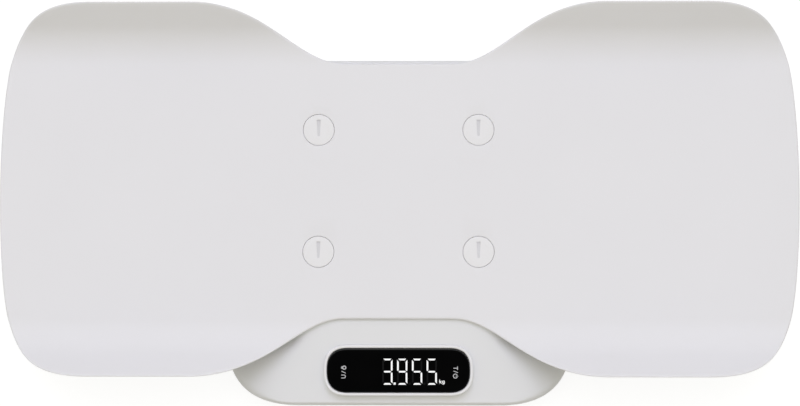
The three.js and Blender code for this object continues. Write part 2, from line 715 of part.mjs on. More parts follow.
// Lower cover: floor and wall, a well for each foot, screw posts, board posts and the battery compartment
function makeLowerCover() {
  const rings = undersideRoundShares.map(([inward, up]) =>
    ringAt(baseOutline(inward * undersideRound), baseBottom + up * undersideRound));
  rings.push(ringAt(baseOutline(0), partingHeight));
  const lipInset = coverWall + seatGap;
  const cavityInset = lipInset + lipWall;
  const lipTop = partingHeight + lipRise;
  const lip = skin([ringAt(baseOutline(lipInset), floorTop), ringAt(baseOutline(lipInset), lipTop)]);
  const lipCavity = [floorTop, lipTop + overrun].map((z) => ringAt(baseOutline(cavityInset), z));
  const cavity = [floorTop, partingHeight - lipWall].map((z) => ringAt(baseOutline(undersideRound), z));
  let cover = joined(skin(rings), lip).subtract(skin(lipCavity)).subtract(skin(cavity));

  for (const { x, y, xSign } of footPlaces) {
    const wellRadius = wellDiameter / 2;
    const shellHeight = wellRoof + coverWall - floorTop;
    cover = cover.add(rod(wellDiameter + 2 * coverWall, shellHeight, x, y, floorTop, hiddenSides));
    cover = cover.subtract(rod(wellDiameter, wellDepth + overrun, x, y, baseBottom - overrun, hiddenSides));
    const rimBottom = wellRoof - cellRimHeight;
    const rimRise = cellRimHeight + coverWall / 2;
    const rimOuter = rod(wellDiameter + coverWall, rimRise, x, y, rimBottom, hiddenSides);
    const rimInner = rod(cellDiameter - 2 * cellRimWidth, cellRimHeight, x, y, rimBottom, hiddenSides);
    cover = cover.add(rimOuter.subtract(rimInner));
    for (const sign of [1, -1]) {
      const clipBottom = cellBottom - seatGap - cellClipHeight;
      const clipLength = cellClipReach + coverWall / 2;
      const clipY = y + sign * (wellRadius - cellClipReach + clipLength / 2);
      cover = cover.add(block(cellClipWidth, clipLength, cellClipHeight, x, clipY, clipBottom));
    }
    const notchX = x - xSign * wellRadius;
    const notchBottom = cellBottom - seatGap;
    cover = cover.subtract(block(3 * coverWall, wireNotchWidth, wireNotchHeight, notchX, y, notchBottom));
  }

  for (const { x, y } of screwPlaces) {
    const headDiameter = caseScrewHeadDiameter + 2 * seatGap;
    const postHeight = screwPostTop - floorTop;
    cover = cover.add(rod(headDiameter + 2 * screwPostWall, postHeight, x, y, floorTop, screwSides));
    const recess = screwHeadTop + seatGap - baseBottom;
    cover = cover.subtract(rod(headDiameter, recess + overrun, x, y, baseBottom - overrun, screwSides));
    const holeDiameter = caseScrewDiameter + 2 * seatGap;
    cover = cover.subtract(rod(holeDiameter, partingRise + overrun, x, y, baseBottom, screwSides));
  }

  for (const [, xSign] of sides) {
    const postHeight = boardBottom - seatGap - floorTop;
    const x = xSign * boardPostSpacing / 2;
    cover = cover.add(rod(boardPostDiameter, postHeight, x, displayY, floorTop, screwSides));
  }

  const boxWidth = compartmentWidth + 2 * compartmentWall;
  const boxLength = compartmentLength + 2 * compartmentWall;
  const boxHeight = compartmentRoof + compartmentWall - floorTop;
  cover = cover.add(block(boxWidth, boxLength, boxHeight, 0, compartmentCentreY, floorTop));
  const hollow = compartmentRoof - baseBottom + overrun;
  cover = cover.subtract(
    block(compartmentWidth, compartmentLength, hollow, 0, compartmentCentreY, baseBottom - overrun));
  const pocketWidth = doorLatchWidth + 2 * doorEdgeGap;
  const pocketLength = doorLatchReach - doorEdgeGap + doorLatchPlay;
  const pocketTop = baseBottom + doorSunk + doorThickness + doorLatchRise + doorLatchPlay;
  const pocketShell = pocketLength + compartmentWall;
  const pocketRise = pocketTop + compartmentWall - floorTop;
  const pocketWall = block(pocketWidth + 2 * compartmentWall, pocketShell, pocketRise,
    0, compartmentRear + pocketShell / 2, floorTop);
  const pocket = block(pocketWidth, pocketLength + overrun, pocketTop - baseBottom + overrun,
    0, compartmentRear + (pocketLength - overrun) / 2, baseBottom - overrun);
  cover = cover.add(pocketWall).subtract(pocket);
  for (const [, xSign] of sides) {
    const slotWidth = doorTongueWidth + 2 * doorEdgeGap;
    const slotDepth = doorTongueReach + compartmentWall;
    const slotHeight = doorTongueReach + 2 * doorTongueThickness;
    const x = xSign * doorTongueSpacing / 2;
    const slotY = compartmentFront - slotDepth / 2;
    cover = cover.subtract(block(slotWidth, slotDepth, slotHeight, x, slotY, floorTop));
  }
  return cover;
}

// Battery door: pivots on its front edge, with tongues over the floor's edge and a spring latch at the rear
function makeDoor() {
  const width = compartmentWidth - 2 * doorEdgeGap;
  const length = compartmentLength - 2 * doorEdgeGap;
  const bottom = baseBottom + doorSunk;
  const plateTop = bottom + doorThickness;
  let door = block(width, length, doorThickness, 0, compartmentCentreY, bottom);
  const tongueBottom = floorTop + seatGap;
  for (const [, xSign] of sides) {
    const x = xSign * doorTongueSpacing / 2;
    const rise = tongueBottom + doorTongueThickness - plateTop;
    const webY = doorFront + doorTongueThickness / 2;
    const web = block(doorTongueWidth, doorTongueThickness, rise + seatGap, x, webY, plateTop - seatGap);
    const reach = doorTongueReach + doorTongueThickness;
    const tongueY = doorFront + doorTongueThickness - reach / 2;
    door = joined(door, web, block(doorTongueWidth, reach, doorTongueThickness, x, tongueY, tongueBottom));
  }
  const latchRear = compartmentRear - doorEdgeGap + doorLatchReach;
  const latchLength = doorLatchReach + doorEdgeGap;
  const latchTab = block(doorLatchWidth, latchLength, doorThickness, 0, latchRear - latchLength / 2, bottom);
  const latchY = latchRear - doorLatchThickness / 2;
  const latchRise = doorLatchRise + seatGap;
  const latch = block(doorLatchWidth, doorLatchThickness, latchRise, 0, latchY, plateTop - seatGap);
  door = joined(door, latchTab, latch);
  for (let i = 0; i < doorGripCount; i++) {
    const y = compartmentRear - doorEdgeGap - (i + 1) * doorGripPitch;
    const groove = block(doorGripWidth, doorGripPitch / 2, 2 * doorGripDepth, 0, y, bottom - doorGripDepth);
    door = door.subtract(groove);
  }
  return door;
}

// Display parts
function makeBezel() {
  const height = bezelTop - bezelBottom;
  const pocketLength = windowLength + 2 * seatGap;
  const pocketWidth = windowWidth + 2 * seatGap;
  let bezel = prism(stadium(bezelLength, bezelWidth, 0, displayY), height, bezelBottom);
  const tabTop = deckHeightAt(displayY - bezelTabWidth / 2) - coverWall - seatGap;
  for (const [, xSign] of sides) {
    const tabLength = bezelTabReach + bezelLip;
    const x = xSign * (bezelLength / 2 + bezelTabReach - tabLength / 2);
    bezel = bezel.add(block(tabLength, bezelTabWidth, bezelTabHeight, x, displayY, tabTop - bezelTabHeight));
  }
  bezel = bezel.subtract(prism(stadium(pocketLength, pocketWidth, 0, displayY), height, ledgeTop));
  const wellLength = pocketLength - 2 * ledgeWidth;
  const wellWidth = pocketWidth - 2 * ledgeWidth;
  const well = stadium(wellLength, wellWidth, 0, displayY);
  bezel = bezel.subtract(prism(well, height + overrun, bezelBottom - overrun));
  for (const { x } of boardScrews()) {
    const hole = boardScrewDiameter + 2 * seatGap;
    bezel = bezel.subtract(rod(hole, boardScrewLength, x, displayY, bezelBottom - overrun / 2, screwSides));
  }
  return bezel;
}

function makeWindow() {
  return prism(stadium(windowLength, windowWidth, 0, displayY), windowThickness, windowBottom);
}

function boardScrews() {
  return sides.map(([name, xSign]) => ({ name, x: xSign * (boardLength / 2 - boardScrewInset) }));
}

function makeBoard() {
  let board = block(boardLength, boardWidth, boardThickness, 0, displayY, boardBottom);
  const holeBottom = boardBottom - overrun / 2;
  for (const { x } of boardScrews()) {
    const hole = boardScrewDiameter + 2 * seatGap;
    board = board.subtract(rod(hole, boardThickness + overrun, x, displayY, holeBottom, screwSides));
  }
  return board;
}

function screwSolid(headDiameter, headHeight, shaftDiameter, length, headBottom) {
  const neck = headBottom + headHeight;
  return turned([
    [0, headBottom],
    [headDiameter / 2, headBottom],
    [headDiameter / 2, neck],
    [shaftDiameter / 2, neck],
    [shaftDiameter / 2, neck + length - shaftDiameter / 2],
    [0, neck + length],
  ], screwSides);
}

// Batteries lie side by side along Y, with every second one turned round. Each one's flat end is pushed by a
// spring, so that its other end meets a plate.
function makeBattery() {
  const body = turned([
    [0, 0],
    [batteryDiameter / 2, 0],
    [batteryDiameter / 2, batteryBodyLength],
    [batteryNubDiameter / 2, batteryBodyLength],
    [batteryNubDiameter / 2, batteryLength],
    [0, batteryLength],
  ], hiddenSides);
  return geometryOf(body).translate(0, 0, -batteryLength / 2);
}

// One contact strip: a plate across the cells given, with a spring for each one whose flat end faces it
function makeContact(xs, springXs, facing) {
  const wallY = facing < 0 ? compartmentRear : compartmentFront;
  const plateY = wallY + facing * (contactInsetGap + contactThickness / 2);
  const left = Math.min(...xs) - contactSpringDiameter / 2;
  const right = Math.max(...xs) + contactSpringDiameter / 2;
  const bottom = batteryHeight - contactHeight / 2;
  let strip = block(right - left, contactThickness, contactHeight, (left + right) / 2, plateY, bottom);
  const plateFace = plateY + facing * contactThickness / 2;
  const springLength = 2 * batteryShift;
  for (const x of springXs) {
    const coil = coilSpring(contactSpringDiameter, contactSpringWire, springLength + contactThickness / 2,
      contactSpringTurns);
    coil.rotateX(-facing * Math.PI / 2);
    coil.translate(x, plateFace - facing * contactThickness / 2, batteryHeight);
    strip = strip.add(solidOf(coil));
  }
  return strip;
}

// Load cell: a round steel plate whose middle tongue bends under load
function makeCell() {
  const plate = new THREE.Shape();
  plate.absarc(0, 0, cellDiameter / 2, 0, 2 * Math.PI);
  const half = THREE.MathUtils.degToRad(cellNeckDegrees) / 2;
  const slot = new THREE.Path();
  slot.absarc(0, 0, cellTongueDiameter / 2 + cellSlotWidth, half, 2 * Math.PI - half, false);
  slot.absarc(0, 0, cellTongueDiameter / 2, 2 * Math.PI - half, half, true);
  slot.closePath();
  plate.holes.push(slot);
  return prism(plate, cellThickness, cellBottom, hiddenSides / 2);
}

function makeFoot() {
  return turned([
    [0, padSeat],
    [padDiameter / 2 + seatGap, padSeat],
    [padDiameter / 2 + seatGap, footBottom],
    [footDiameter / 2 - seatGap, footBottom],
    [footDiameter / 2, footBottom + seatGap],
    [footDiameter / 2, footBottom + footBodyHeight],
    [footBossDiameter / 2, footBottom + footBodyHeight],
    [footBossDiameter / 2, footTop],
    [0, footTop],
  ], hiddenSides);
}

const padEdgeRound = 0.8;
function makePad() {
  return turned([
    [0, 0],
    [padDiameter / 2 - padEdgeRound, 0],
    [padDiameter / 2, padEdgeRound],
    [padDiameter / 2, padThickness],
    [0, padThickness],
  ], hiddenSides);
}

// Wires held inside the base, along their routes from each load cell and battery terminal to the board
const wireFloor = cellBottom + cellThickness / 2;
const batteryWireHeight = wireFloor + 2 * cellWireDiameter;
const connectorBottom = boardBottom - seatGap - connectorHeight;
const plugHeight = connectorBottom + connectorHeight / 2;
const connectorMouthY = displayY + boardWidth / 2 + seatGap;
const plugY = connectorMouthY + seatGap;
const cellWireSteps = 16;
const batteryWireSteps = 10;
const cellPlugPitch = 4;
const wireRiseRun = 8;
const wireTurnRun = 5;

// Shares of the base's half width across, and of its front reach along
const rearWireShares = [[0.35, 0.27], [0.3, 0], [0.27, -0.34]];
const frontWireShares = [[0.33, -0.665]];
const batteryWireShare = -0.34;

function wireRoute(points) {
  return new THREE.CatmullRomCurve3(points.map((p) => new THREE.Vector3(...p)), false, "centripetal");
}

function cellWirePath(place) {
  const slot = { front_left: 0, rear_left: 1, rear_right: 2, front_right: 3 }[place.name];
  const plugX = -cellConnectorLeftOfCentre + (slot - 3 / 2) * cellPlugPitch;
  const turnX = plugX + place.xSign * (place.y > 0 ? 1 : 2) * wireTurnRun;
  const turnY = plugY + wireRiseRun + (place.y > 0 ? 2 : 0) * wireTurnRun;
  const shares = place.y > 0 ? rearWireShares : frontWireShares;
  return wireRoute([
    [place.x - place.xSign * (cellDiameter / 2 + seatGap), place.y, wireFloor],
    [place.x - place.xSign * (wellDiameter / 2 + coverWall + wireTurnRun), place.y, wireFloor],
    ...shares.map(([across, along]) => [place.xSign * across * baseHalf, along * baseFront, wireFloor]),
    [turnX, turnY, wireFloor],
    [plugX, plugY + wireRiseRun, (wireFloor + plugHeight) / 2],
    [plugX, plugY, plugHeight],
  ]);
}

function batteryWirePath(terminalX, plugX) {
  const outside = compartmentFront - compartmentWall - seatGap;
  return wireRoute([
    [terminalX, outside, batteryHeight],
    [terminalX, outside - wireTurnRun, batteryWireHeight],
    [(terminalX + plugX) / 2, batteryWireShare * baseFront, batteryWireHeight],
    [plugX, plugY + 2 * wireRiseRun, batteryWireHeight],
    [plugX, plugY, plugHeight],
  ]);
}

// Assembly
const scale = new THREE.Group();
const model = new THREE.Group();
model.position.y = (baseFront - rimHalf) / 2;
scale.add(model);

function place(name, solidOrGeometry, material, x = 0, y = 0, z = 0) {
  const geometry = solidOrGeometry.isBufferGeometry ? solidOrGeometry : geometryOf(solidOrGeometry);
  const mesh = new THREE.Mesh(geometry, material);
  mesh.name = name;
  mesh.position.set(x, y, z);
  model.add(mesh);
  return mesh;
}

place("tray", makeTray(), white);
const lock = geometryOf(makeLock());
for (const { name, x, y } of lockPlaces) place(`tray_lock_${name}`, lock, brightWhite, x, y);

place("base_upper_cover", makeUpperCover(), housingWhite);
place("base_lower_cover", makeLowerCover(), housingWhite);
place("battery_door", makeDoor(), housingWhite);

place("display_bezel", makeBezel(), brightWhite);
place("display_window", makeWindow(), windowBlack);
const ledModule = block(ledModuleLength, ledModuleWidth, ledModuleHeight, ledModuleRightOfCentre, displayY,
  boardTop + seatGap);
place("led_digit_module", ledModule, blackPlastic);
const touchSpring = coilSpring(touchSpringDiameter, touchSpringWire, windowBottom - boardTop - 2 * seatGap,
  touchSpringTurns);
place("touch_spring_unit_key", touchSpring, nickel, -touchKeySpacing / 2, displayY, boardTop + seatGap);
place("touch_spring_power_key", touchSpring, nickel, touchKeySpacing / 2, displayY, boardTop + seatGap);

place("circuit_board", makeBoard(), boardGreen);
const chipBottom = boardBottom - seatGap - chipHeight;
const chipY = displayY + boardWidth / 4;
const controller = block(chipSize, chipSize, chipHeight, chipRightOfCentre, chipY, chipBottom);
const converterX = -converterLeftOfCentre;
const converter = block(converterLength, converterWidth, chipHeight, converterX, displayY, chipBottom);
place("controller_chip", controller, blackPlastic);
place("weighing_converter_chip", converter, blackPlastic);
const connectorY = connectorMouthY - seatGap - connectorDepth / 2;
const cellConnector = block(cellConnectorLength, connectorDepth, connectorHeight,
  -cellConnectorLeftOfCentre, connectorY, connectorBottom);
const batteryConnector = block(batteryConnectorLength, connectorDepth, connectorHeight,
  batteryConnectorRightOfCentre, connectorY, connectorBottom);
place("load_cell_connector", cellConnector, connectorCream);
place("battery_connector", batteryConnector, connectorCream);
for (const { name, x } of boardScrews()) {
  const headBottom = boardBottom - seatGap - boardScrewHeadHeight;
  const screw = screwSolid(boardScrewHeadDiameter, boardScrewHeadHeight, boardScrewDiameter,
    boardThickness + 2 * seatGap + overrun / 2, headBottom);
  place(`board_screw_${name}`, screw, steel, x, displayY);
}

const battery = makeBattery();
const batteryXs = [];
for (let i = 0; i < batteryCount; i++) {
  const x = (i - (batteryCount - 1) / 2) * batteryPitch;
  batteryXs.push(x);
  const turn = i % 2 ? 1 : -1;
  const y = compartmentCentreY - turn * batteryShift;
  const cell = place(`battery_${i + 1}`, battery, batteryJacket, x, y, batteryHeight);
  cell.rotation.x = turn * Math.PI / 2;
}
const [b1, b2, b3, b4] = batteryXs;
place("battery_contact_rear_left", makeContact([b1, b2], [b2], -1), nickel);
place("battery_contact_rear_right", makeContact([b3, b4], [b4], -1), nickel);
place("battery_contact_front_middle", makeContact([b2, b3], [b3], 1), nickel);
place("battery_contact_negative", makeContact([b1], [b1], 1), nickel);
place("battery_contact_positive", makeContact([b4], [], 1), nickel);

const loadCell = geometryOf(makeCell());
const foot = geometryOf(makeFoot());
const pad = geometryOf(makePad());
for (const spot of footPlaces) {
  const cell = place(`load_cell_${spot.name}`, loadCell, steel, spot.x, spot.y);
  cell.rotation.z = spot.xSign > 0 ? Math.PI : 0;
  place(`foot_${spot.name}`, foot, footGrey, spot.x, spot.y);
  place(`foot_pad_${spot.name}`, pad, rubber, spot.x, spot.y);
  const wire = wireAlong(cellWirePath(spot), cellWireDiameter, cellWireSteps, wireSides);
  place(`load_cell_wire_${spot.name}`, wire, wireGrey);
}
const batteryPlugShift = batteryConnectorLength / 4;
for (const [name, x, shift, material] of [
  ["battery_wire_red", b4, batteryPlugShift, wireRed],
  ["battery_wire_black", b1, -batteryPlugShift, wireBlack],
]) {
  const path = batteryWirePath(x, batteryConnectorRightOfCentre + shift);
  place(name, wireAlong(path, batteryWireDiameter, batteryWireSteps, wireSides), material);
}

const caseScrew = geometryOf(screwSolid(caseScrewHeadDiameter, caseScrewHeadHeight, caseScrewDiameter,
  caseScrewLength, screwHeadTop - caseScrewHeadHeight));
for (const { name, x, y } of screwPlaces) place(`case_screw_${name}`, caseScrew, steel, x, y);

export default scale;
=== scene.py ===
"""Looks of a digital baby weighing scale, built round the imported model.

Lengths are in millimetres and turned into metres when a mesh is made. Places are measured from the
middle of the tray on the floor, as in the CAD, and moved by the tray's own centre into the frame.
"""

from math import asin, copysign, cos, hypot, pi, radians, sin, tan

import bmesh
import bpy
import numpy as np
from mathutils import Matrix, Vector


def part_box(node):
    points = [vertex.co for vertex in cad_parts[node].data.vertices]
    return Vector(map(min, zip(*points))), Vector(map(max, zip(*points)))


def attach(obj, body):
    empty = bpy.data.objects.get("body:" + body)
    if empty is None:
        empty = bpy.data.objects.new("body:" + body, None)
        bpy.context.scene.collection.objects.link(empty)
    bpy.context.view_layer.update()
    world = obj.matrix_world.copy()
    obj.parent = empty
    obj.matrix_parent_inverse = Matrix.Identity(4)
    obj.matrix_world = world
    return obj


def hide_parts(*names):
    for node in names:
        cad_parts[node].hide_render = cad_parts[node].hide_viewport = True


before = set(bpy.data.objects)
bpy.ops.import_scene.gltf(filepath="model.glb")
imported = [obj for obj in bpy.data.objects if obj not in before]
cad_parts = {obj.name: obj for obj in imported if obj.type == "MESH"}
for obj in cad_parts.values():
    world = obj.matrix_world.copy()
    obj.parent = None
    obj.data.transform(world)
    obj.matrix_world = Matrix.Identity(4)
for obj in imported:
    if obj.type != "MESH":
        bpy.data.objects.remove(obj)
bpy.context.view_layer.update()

MM = 0.001
scene = bpy.context.scene


# Sizes read from the frame
def corners(node):
    """A node's lowest and highest corner in millimetres."""
    return [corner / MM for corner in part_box(node)]


tray_low, tray_high = corners("tray")
base_low, base_high = corners("base_lower_cover")
window_low, window_high = corners("display_window")
bezel_low, bezel_high = corners("display_bezel")
centre_y = (tray_low.y + tray_high.y) / 2
half_length = (tray_high.x - tray_low.x) / 2
rim_half = (tray_high.y - tray_low.y) / 2
base_half = (base_high.x - base_low.x) / 2
base_front = centre_y - base_low.y
base_rear = base_high.y - centre_y
base_bottom = base_low.z

# Tray
gap = 0.3
boss_height = 3.0
tray_thickness = 3.0
tray_bottom = tray_low.z + boss_height
tray_top = tray_bottom + tray_thickness
rear_showing = 3.7
waist_half = base_rear - rear_showing
waist_flat_half = 37.0
shoulder_length = 104.5
corner_length = 65.5
bend_radius = 32.0
bend_angle = radians(50)
rim_round = 1.3
rim_round_more = 0.8
shoulder_shares = [(0, 0), (0.308, 0), (0.484, 1), (1, 1)]
corner_shares = [(0, 1), (0.485, 1), (0.774, 0.924), (0.899, 0.693), (0.947, 0.605), (1, 0.334),
                 (1, 0)]

# Base shells
base_top = tray_bottom - gap
wall = 2.4
floor_top = base_bottom + wall
parting = 14.0
cover_bottom = parting + gap
skirt_height = 5.0
rear_corner = 40.0
front_corner_width = 50.0
front_corner_depth = 46.0
deck_half = 61.4
deck_edge_run = 2.8
deck_rear_corner = 19.0
deck_fold = waist_half + 2.0
deck_tilt = radians(8.5)
deck_flare_width = 22.0
deck_flare_depth = 36.0
deck_front_half = 73.2
soft_slope = [(0, 0), (0.45, 0.12), (0.45, 1), (1, 1)]
creased_slope = [(0, 0), (0.8, 0.08), (0.84, 0.92), (1, 1)]
round_slope = [(0, 0), (0.02, 0.5), (0.35, 0.98), (1, 1)]
soft_behind_fold = 15.0
creased_past_fold = 15.0
rear_round_run = 28.0
fold_soft = 3.0
seam_round = 0.35
skirt_round = 1.3
skirt_round_height = 4.2

# Locks
lock_x = 55.0
lock_y = 42.0
lock_diameter = 21.4
lock_head = 2.4
lock_sunk = 0.1
lock_fit = 0.4
lock_hole_edge = 0.3
disc_gap = 0.15
lock_shank = 12.0
lug_length = 21.4
lug_width = 5.0
lug_height = 3.0
lock_edge = 0.5
pointer_rear = 7.0
pointer_front = 4.2
pointer_rear_width = 2.6
pointer_front_width = 1.5
pointer_depth = 0.95
pointer_front_share = 0.45
pointer_rear_share = 0.9
pointer_flare = 0.12
boss_wall = 2.0
boss_edge = 0.5
boss_overlap = 1.5
boss_radius = lock_diameter / 2 + lock_fit + boss_wall
socket_radius = boss_radius + lock_fit
socket_wall = 2.0
socket_floor = 2.4
socket_edge = 0.5
socket_top = tray_bottom - boss_height - gap
socket_bottom = socket_top - socket_floor
stop_post = 6.0
stop_post_height = 2.4

# Display
window_length = window_high.x - window_low.x
window_width = window_high.y - window_low.y
window_y = (window_high.y + window_low.y) / 2 - centre_y
window_bottom = window_low.z
window_top = window_high.z
window_rim = 0.35
window_rim_rear_more = 1.0
bezel_lip = 2.0
bezel_bead = 0.75
bezel_top = bezel_high.z
bezel_bottom = bezel_low.z
ledge_top = window_bottom - gap
ledge_width = 3.0
end_fullness = 2.6
opening_play = 0.03
opening_front_play = 0.22

sides = (("left", -1), ("right", 1))
rows = (("rear", 1), ("front", -1))
lock_places = {f"{row}_{side}": (sx * lock_x, sy * lock_y)
               for row, sy in rows for side, sx in sides}


# Meshes
def add_mesh(name, verts, faces):
    """A mesh object from points in millimetres, in the tray's own axes."""
    mesh = bpy.data.meshes.new(name)
    points = (np.asarray(verts, float) + (0, centre_y, 0)) * MM
    mesh.from_pydata(points.tolist(), [], [list(map(int, face)) for face in faces])
    bm = bmesh.new()
    bm.from_mesh(mesh)
    bmesh.ops.remove_doubles(bm, verts=bm.verts, dist=1e-7)
    bmesh.ops.dissolve_degenerate(bm, dist=1e-8, edges=bm.edges)
    bm.to_mesh(mesh)
    bm.free()
    obj = bpy.data.objects.new(name, mesh)
    scene.collection.objects.link(obj)
    return obj


def loft(rings, capped=False):
    """Faces through rings of points that run counterclockwise seen from above."""
    count = len(rings[0])
    verts = [point for ring in rings for point in ring]
    faces = []
    for level in range(len(rings) - 1):
        low, high = level * count, (level + 1) * count
        for i in range(count):
            n = (i + 1) % count
            faces.append((low + i, low + n, high + n, high + i))
    if capped:
        faces.append(tuple(reversed(range(count))))
        faces.append(tuple(range(len(verts) - count, len(verts))))
    return verts, faces


def merge(*parts):
    """One list of points and one of faces from several."""
    verts, faces = [], []
    for part_verts, part_faces in parts:
        start = len(verts)
        verts.extend(part_verts)
        faces.extend(tuple(i + start for i in face) for face in part_faces)
    return verts, faces


def each(places, shape):
    """The same shape at several places, as one list of points and one of faces."""
    return merge(*[shape(x, y) for x, y in places])


def prism(points, low, high):
    """A flat shape between two heights."""
    rings = [[(x, y, z) for x, y in points] for z in (low, high)]
    return loft(rings, capped=True)


def block(width, depth, height, x, y, low):
    signs = [(-1, -1), (1, -1), (1, 1), (-1, 1)]
    plan = [(x + sx * width / 2, y + sy * depth / 2) for sx, sy in signs]
    return prism(plan, low, low + height)


def circle(radius, x, y, count=96):
    turns = [2 * pi * i / count for i in range(count)]
    return [(x + radius * cos(a), y + radius * sin(a)) for a in turns]


def turned(profile, x, y, count=96):
    """A turned solid about an upright axis, its profile given as radii and heights."""
    rings = [[(px, py, z) for px, py in circle(radius, x, y, count)] for radius, z in profile]
    return loft(rings)


def rod(diameter, height, x, y, low, count=96):
    return prism(circle(diameter / 2, x, y, count), low, low + height)


def rounding(radius, steps):
    """Shares of a quarter turn: how far in and how far up the rounded edge has come."""
    for i in range(steps + 1):
        angle = pi / 2 * i / steps
        yield radius * (1 - cos(angle)), radius * sin(angle)


def upper_round(radius, top, rise, steps, sign=-1):
    """A profile's rounded upper edge, from its side to its top. A sign of 1 flares it outward."""
    return [(radius + sign * run, top - rise + up) for run, up in rounding(rise, steps)]


def lower_round(radius, low, rise, steps, sign=-1):
    """A profile's rounded lower edge, from its underside to its side."""
    return [(radius + sign * run, low + rise - up)
            for run, up in reversed(list(rounding(rise, steps)))]


def curve(points, t):
    """A point on a straight line of two points, or on a Bezier curve of four."""
    a, *handles, d = np.asarray(points, float)
    if not handles:
        return a + (d - a) * t
    b, c = handles
    u = 1 - t
    return u ** 3 * a + 3 * u * u * t * b + 3 * u * t * t * c + t ** 3 * d


def mirrored(pieces):
    """A closed outline from its right half, front centre to rear centre, and the mirror image."""
    right = [curve(points, i / steps) for points, steps in pieces for i in range(steps)]
    right.append(pieces[-1][0][-1])
    return np.array(right + [(-x, y) for x, y in right[-2:0:-1]])


def rounded_box(width, depth, radius, y, steps=6):
    """A rectangle with rounded corners, counterclockwise."""
    points = []
    for quarter, (sx, sy) in enumerate(((1, -1), (1, 1), (-1, 1), (-1, -1))):
        cx, cy = sx * (width / 2 - radius), y + sy * (depth / 2 - radius)
        for i in range(steps + 1):
            angle = pi / 2 * (quarter - 1 + i / steps)
            points.append((cx + radius * cos(angle), cy + radius * sin(angle)))
    return points


def stadium(offset):
    """The window's outline grown by an offset, its ends a little fuller than half circles."""
    radius = window_width / 2 + offset
    reach = (window_length - window_width) / 2
    full = lambda share: copysign(abs(share) ** (2 / end_fullness), share)
    right = [(reach + radius * full(cos(a)), window_y + radius * full(sin(a)))
             for a in np.linspace(-pi / 2, pi / 2, 40)]
    left = [(-x, 2 * window_y - y) for x, y in right]
    along = np.linspace(-reach, reach, 12)[1:-1]
    rear = [(-x, window_y + radius) for x in along]
    front = [(x, window_y - radius) for x in along]
    return np.array(right + rear + left + front)


def outward(outline):
    """The outline's outward direction at each point, seen from above."""
    along = np.roll(outline, -1, axis=0) - np.roll(outline, 1, axis=0)
    along /= np.linalg.norm(along, axis=1)[:, None]
    return np.stack([along[:, 1], -along[:, 0]], axis=1)


def at_height(outline, z):
    heights = np.full(len(outline), z) if np.isscalar(z) else z
    return np.column_stack([outline, heights])


def combine(obj, operation, tools):
    """Changes obj by each tool, a (points, faces) pair, and clears the tools away."""
    made = [add_mesh("tool", *tool) for tool in tools]
    for tool in made:
        change = obj.modifiers.new("tool", "BOOLEAN")
        change.operation = operation
        change.solver = "EXACT"
        change.object = tool
    shaped = obj.evaluated_get(bpy.context.evaluated_depsgraph_get())
    result = bpy.data.meshes.new_from_object(shaped)
    obj.modifiers.clear()
    old = obj.data
    obj.data = result
    bpy.data.meshes.remove(old)
    for tool in made:
        data = tool.data
        bpy.data.objects.remove(tool)
        bpy.data.meshes.remove(data)
    return obj


def join(obj, *tools):
    return combine(obj, "UNION", tools)


def cut(obj, *tools):
    return combine(obj, "DIFFERENCE", tools)


def dress(obj, material, replaces=(), body="base", sharp=35, bevel=0.0):
    """Shading, finish and body of a finished piece; hides the CAD parts it replaces."""
    obj.data.materials.clear()
    obj.data.materials.append(material)
    obj.data.shade_smooth()
    obj.data.set_sharp_from_angle(angle=radians(sharp))
    if bevel:
        soften(obj, bevel)
    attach(obj, body)
    if replaces:
        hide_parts(*replaces)
    return obj


def finish_faces(obj, material, test):
    """A second finish on the faces whose centre and normal's upward part pass the test."""
    obj.data.materials.append(material)
    for face in obj.data.polygons:
        x, y, z = face.center
        if test(x / MM, y / MM - centre_y, z / MM, face.normal.z):
            face.material_index = len(obj.data.materials) - 1


def soften(obj, width):
    """Small rounded edges."""
    edge = obj.modifiers.new("edge", "BEVEL")
    edge.width = width * MM
    edge.segments = 2
    edge.limit_method = "ANGLE"
    edge.angle_limit = radians(32)


# Materials
def new_material(name):
    made = bpy.data.materials.new(name)
    made.use_nodes = True
    tree = made.node_tree
    return made, tree, tree.nodes["Principled BSDF"]


def feed(node, inputs):
    """Gives each named input a constant or another node's output."""
    for key, value in inputs.items():
        if isinstance(value, bpy.types.NodeSocket):
            node.id_data.links.new(value, node.inputs[key])
        else:
            node.inputs[key].default_value = value
    return node


def add_node(tree, kind, inputs, **settings):
    node = tree.nodes.new(kind)
    for key, value in settings.items():
        setattr(node, key, value)
    return feed(node, inputs)


def texture(tree, kind, scale, stretch=None, **inputs):
    """A procedural texture in the frame's own coordinates, scale in features per metre."""
    place = tree.nodes.get("place") or tree.nodes.new("ShaderNodeTexCoord")
    place.name = "place"
    vector = place.outputs["Object"]
    if stretch:
        mapping = add_node(tree, "ShaderNodeMapping", {"Vector": vector, "Scale": stretch})
        vector = mapping.outputs["Vector"]
    return add_node(tree, kind, {"Vector": vector, "Scale": scale, **inputs})


def noise(tree, scale, detail, roughness, stretch=None):
    """Soft random spots, as a value at each place."""
    node = texture(tree, "ShaderNodeTexNoise", scale, stretch, Detail=detail, Roughness=roughness)
    return node.outputs["Fac"]


def blend_colours(tree, factor, first, second):
    mix = add_node(tree, "ShaderNodeMix", {"Factor": factor}, data_type="RGBA")
    for name, colour in (("A", first), ("B", second)):
        socket = next(s for s in mix.inputs if s.name == name and s.type == "RGBA")
        socket.default_value = (*colour, 1)
    return next(s for s in mix.outputs if s.type == "RGBA")


def spread(tree, source, low, high, from_low=0.3, from_high=0.7):
    """A texture's value spread between two numbers."""
    inputs = {"Value": source, "From Min": from_low, "From Max": from_high, "To Min": low,
              "To Max": high}
    return add_node(tree, "ShaderNodeMapRange", inputs).outputs["Result"]


def bump(tree, height, depth, strength, **before):
    inputs = {"Strength": strength, "Distance": depth * MM, "Height": height, **before}
    return add_node(tree, "ShaderNodeBump", inputs).outputs["Normal"]


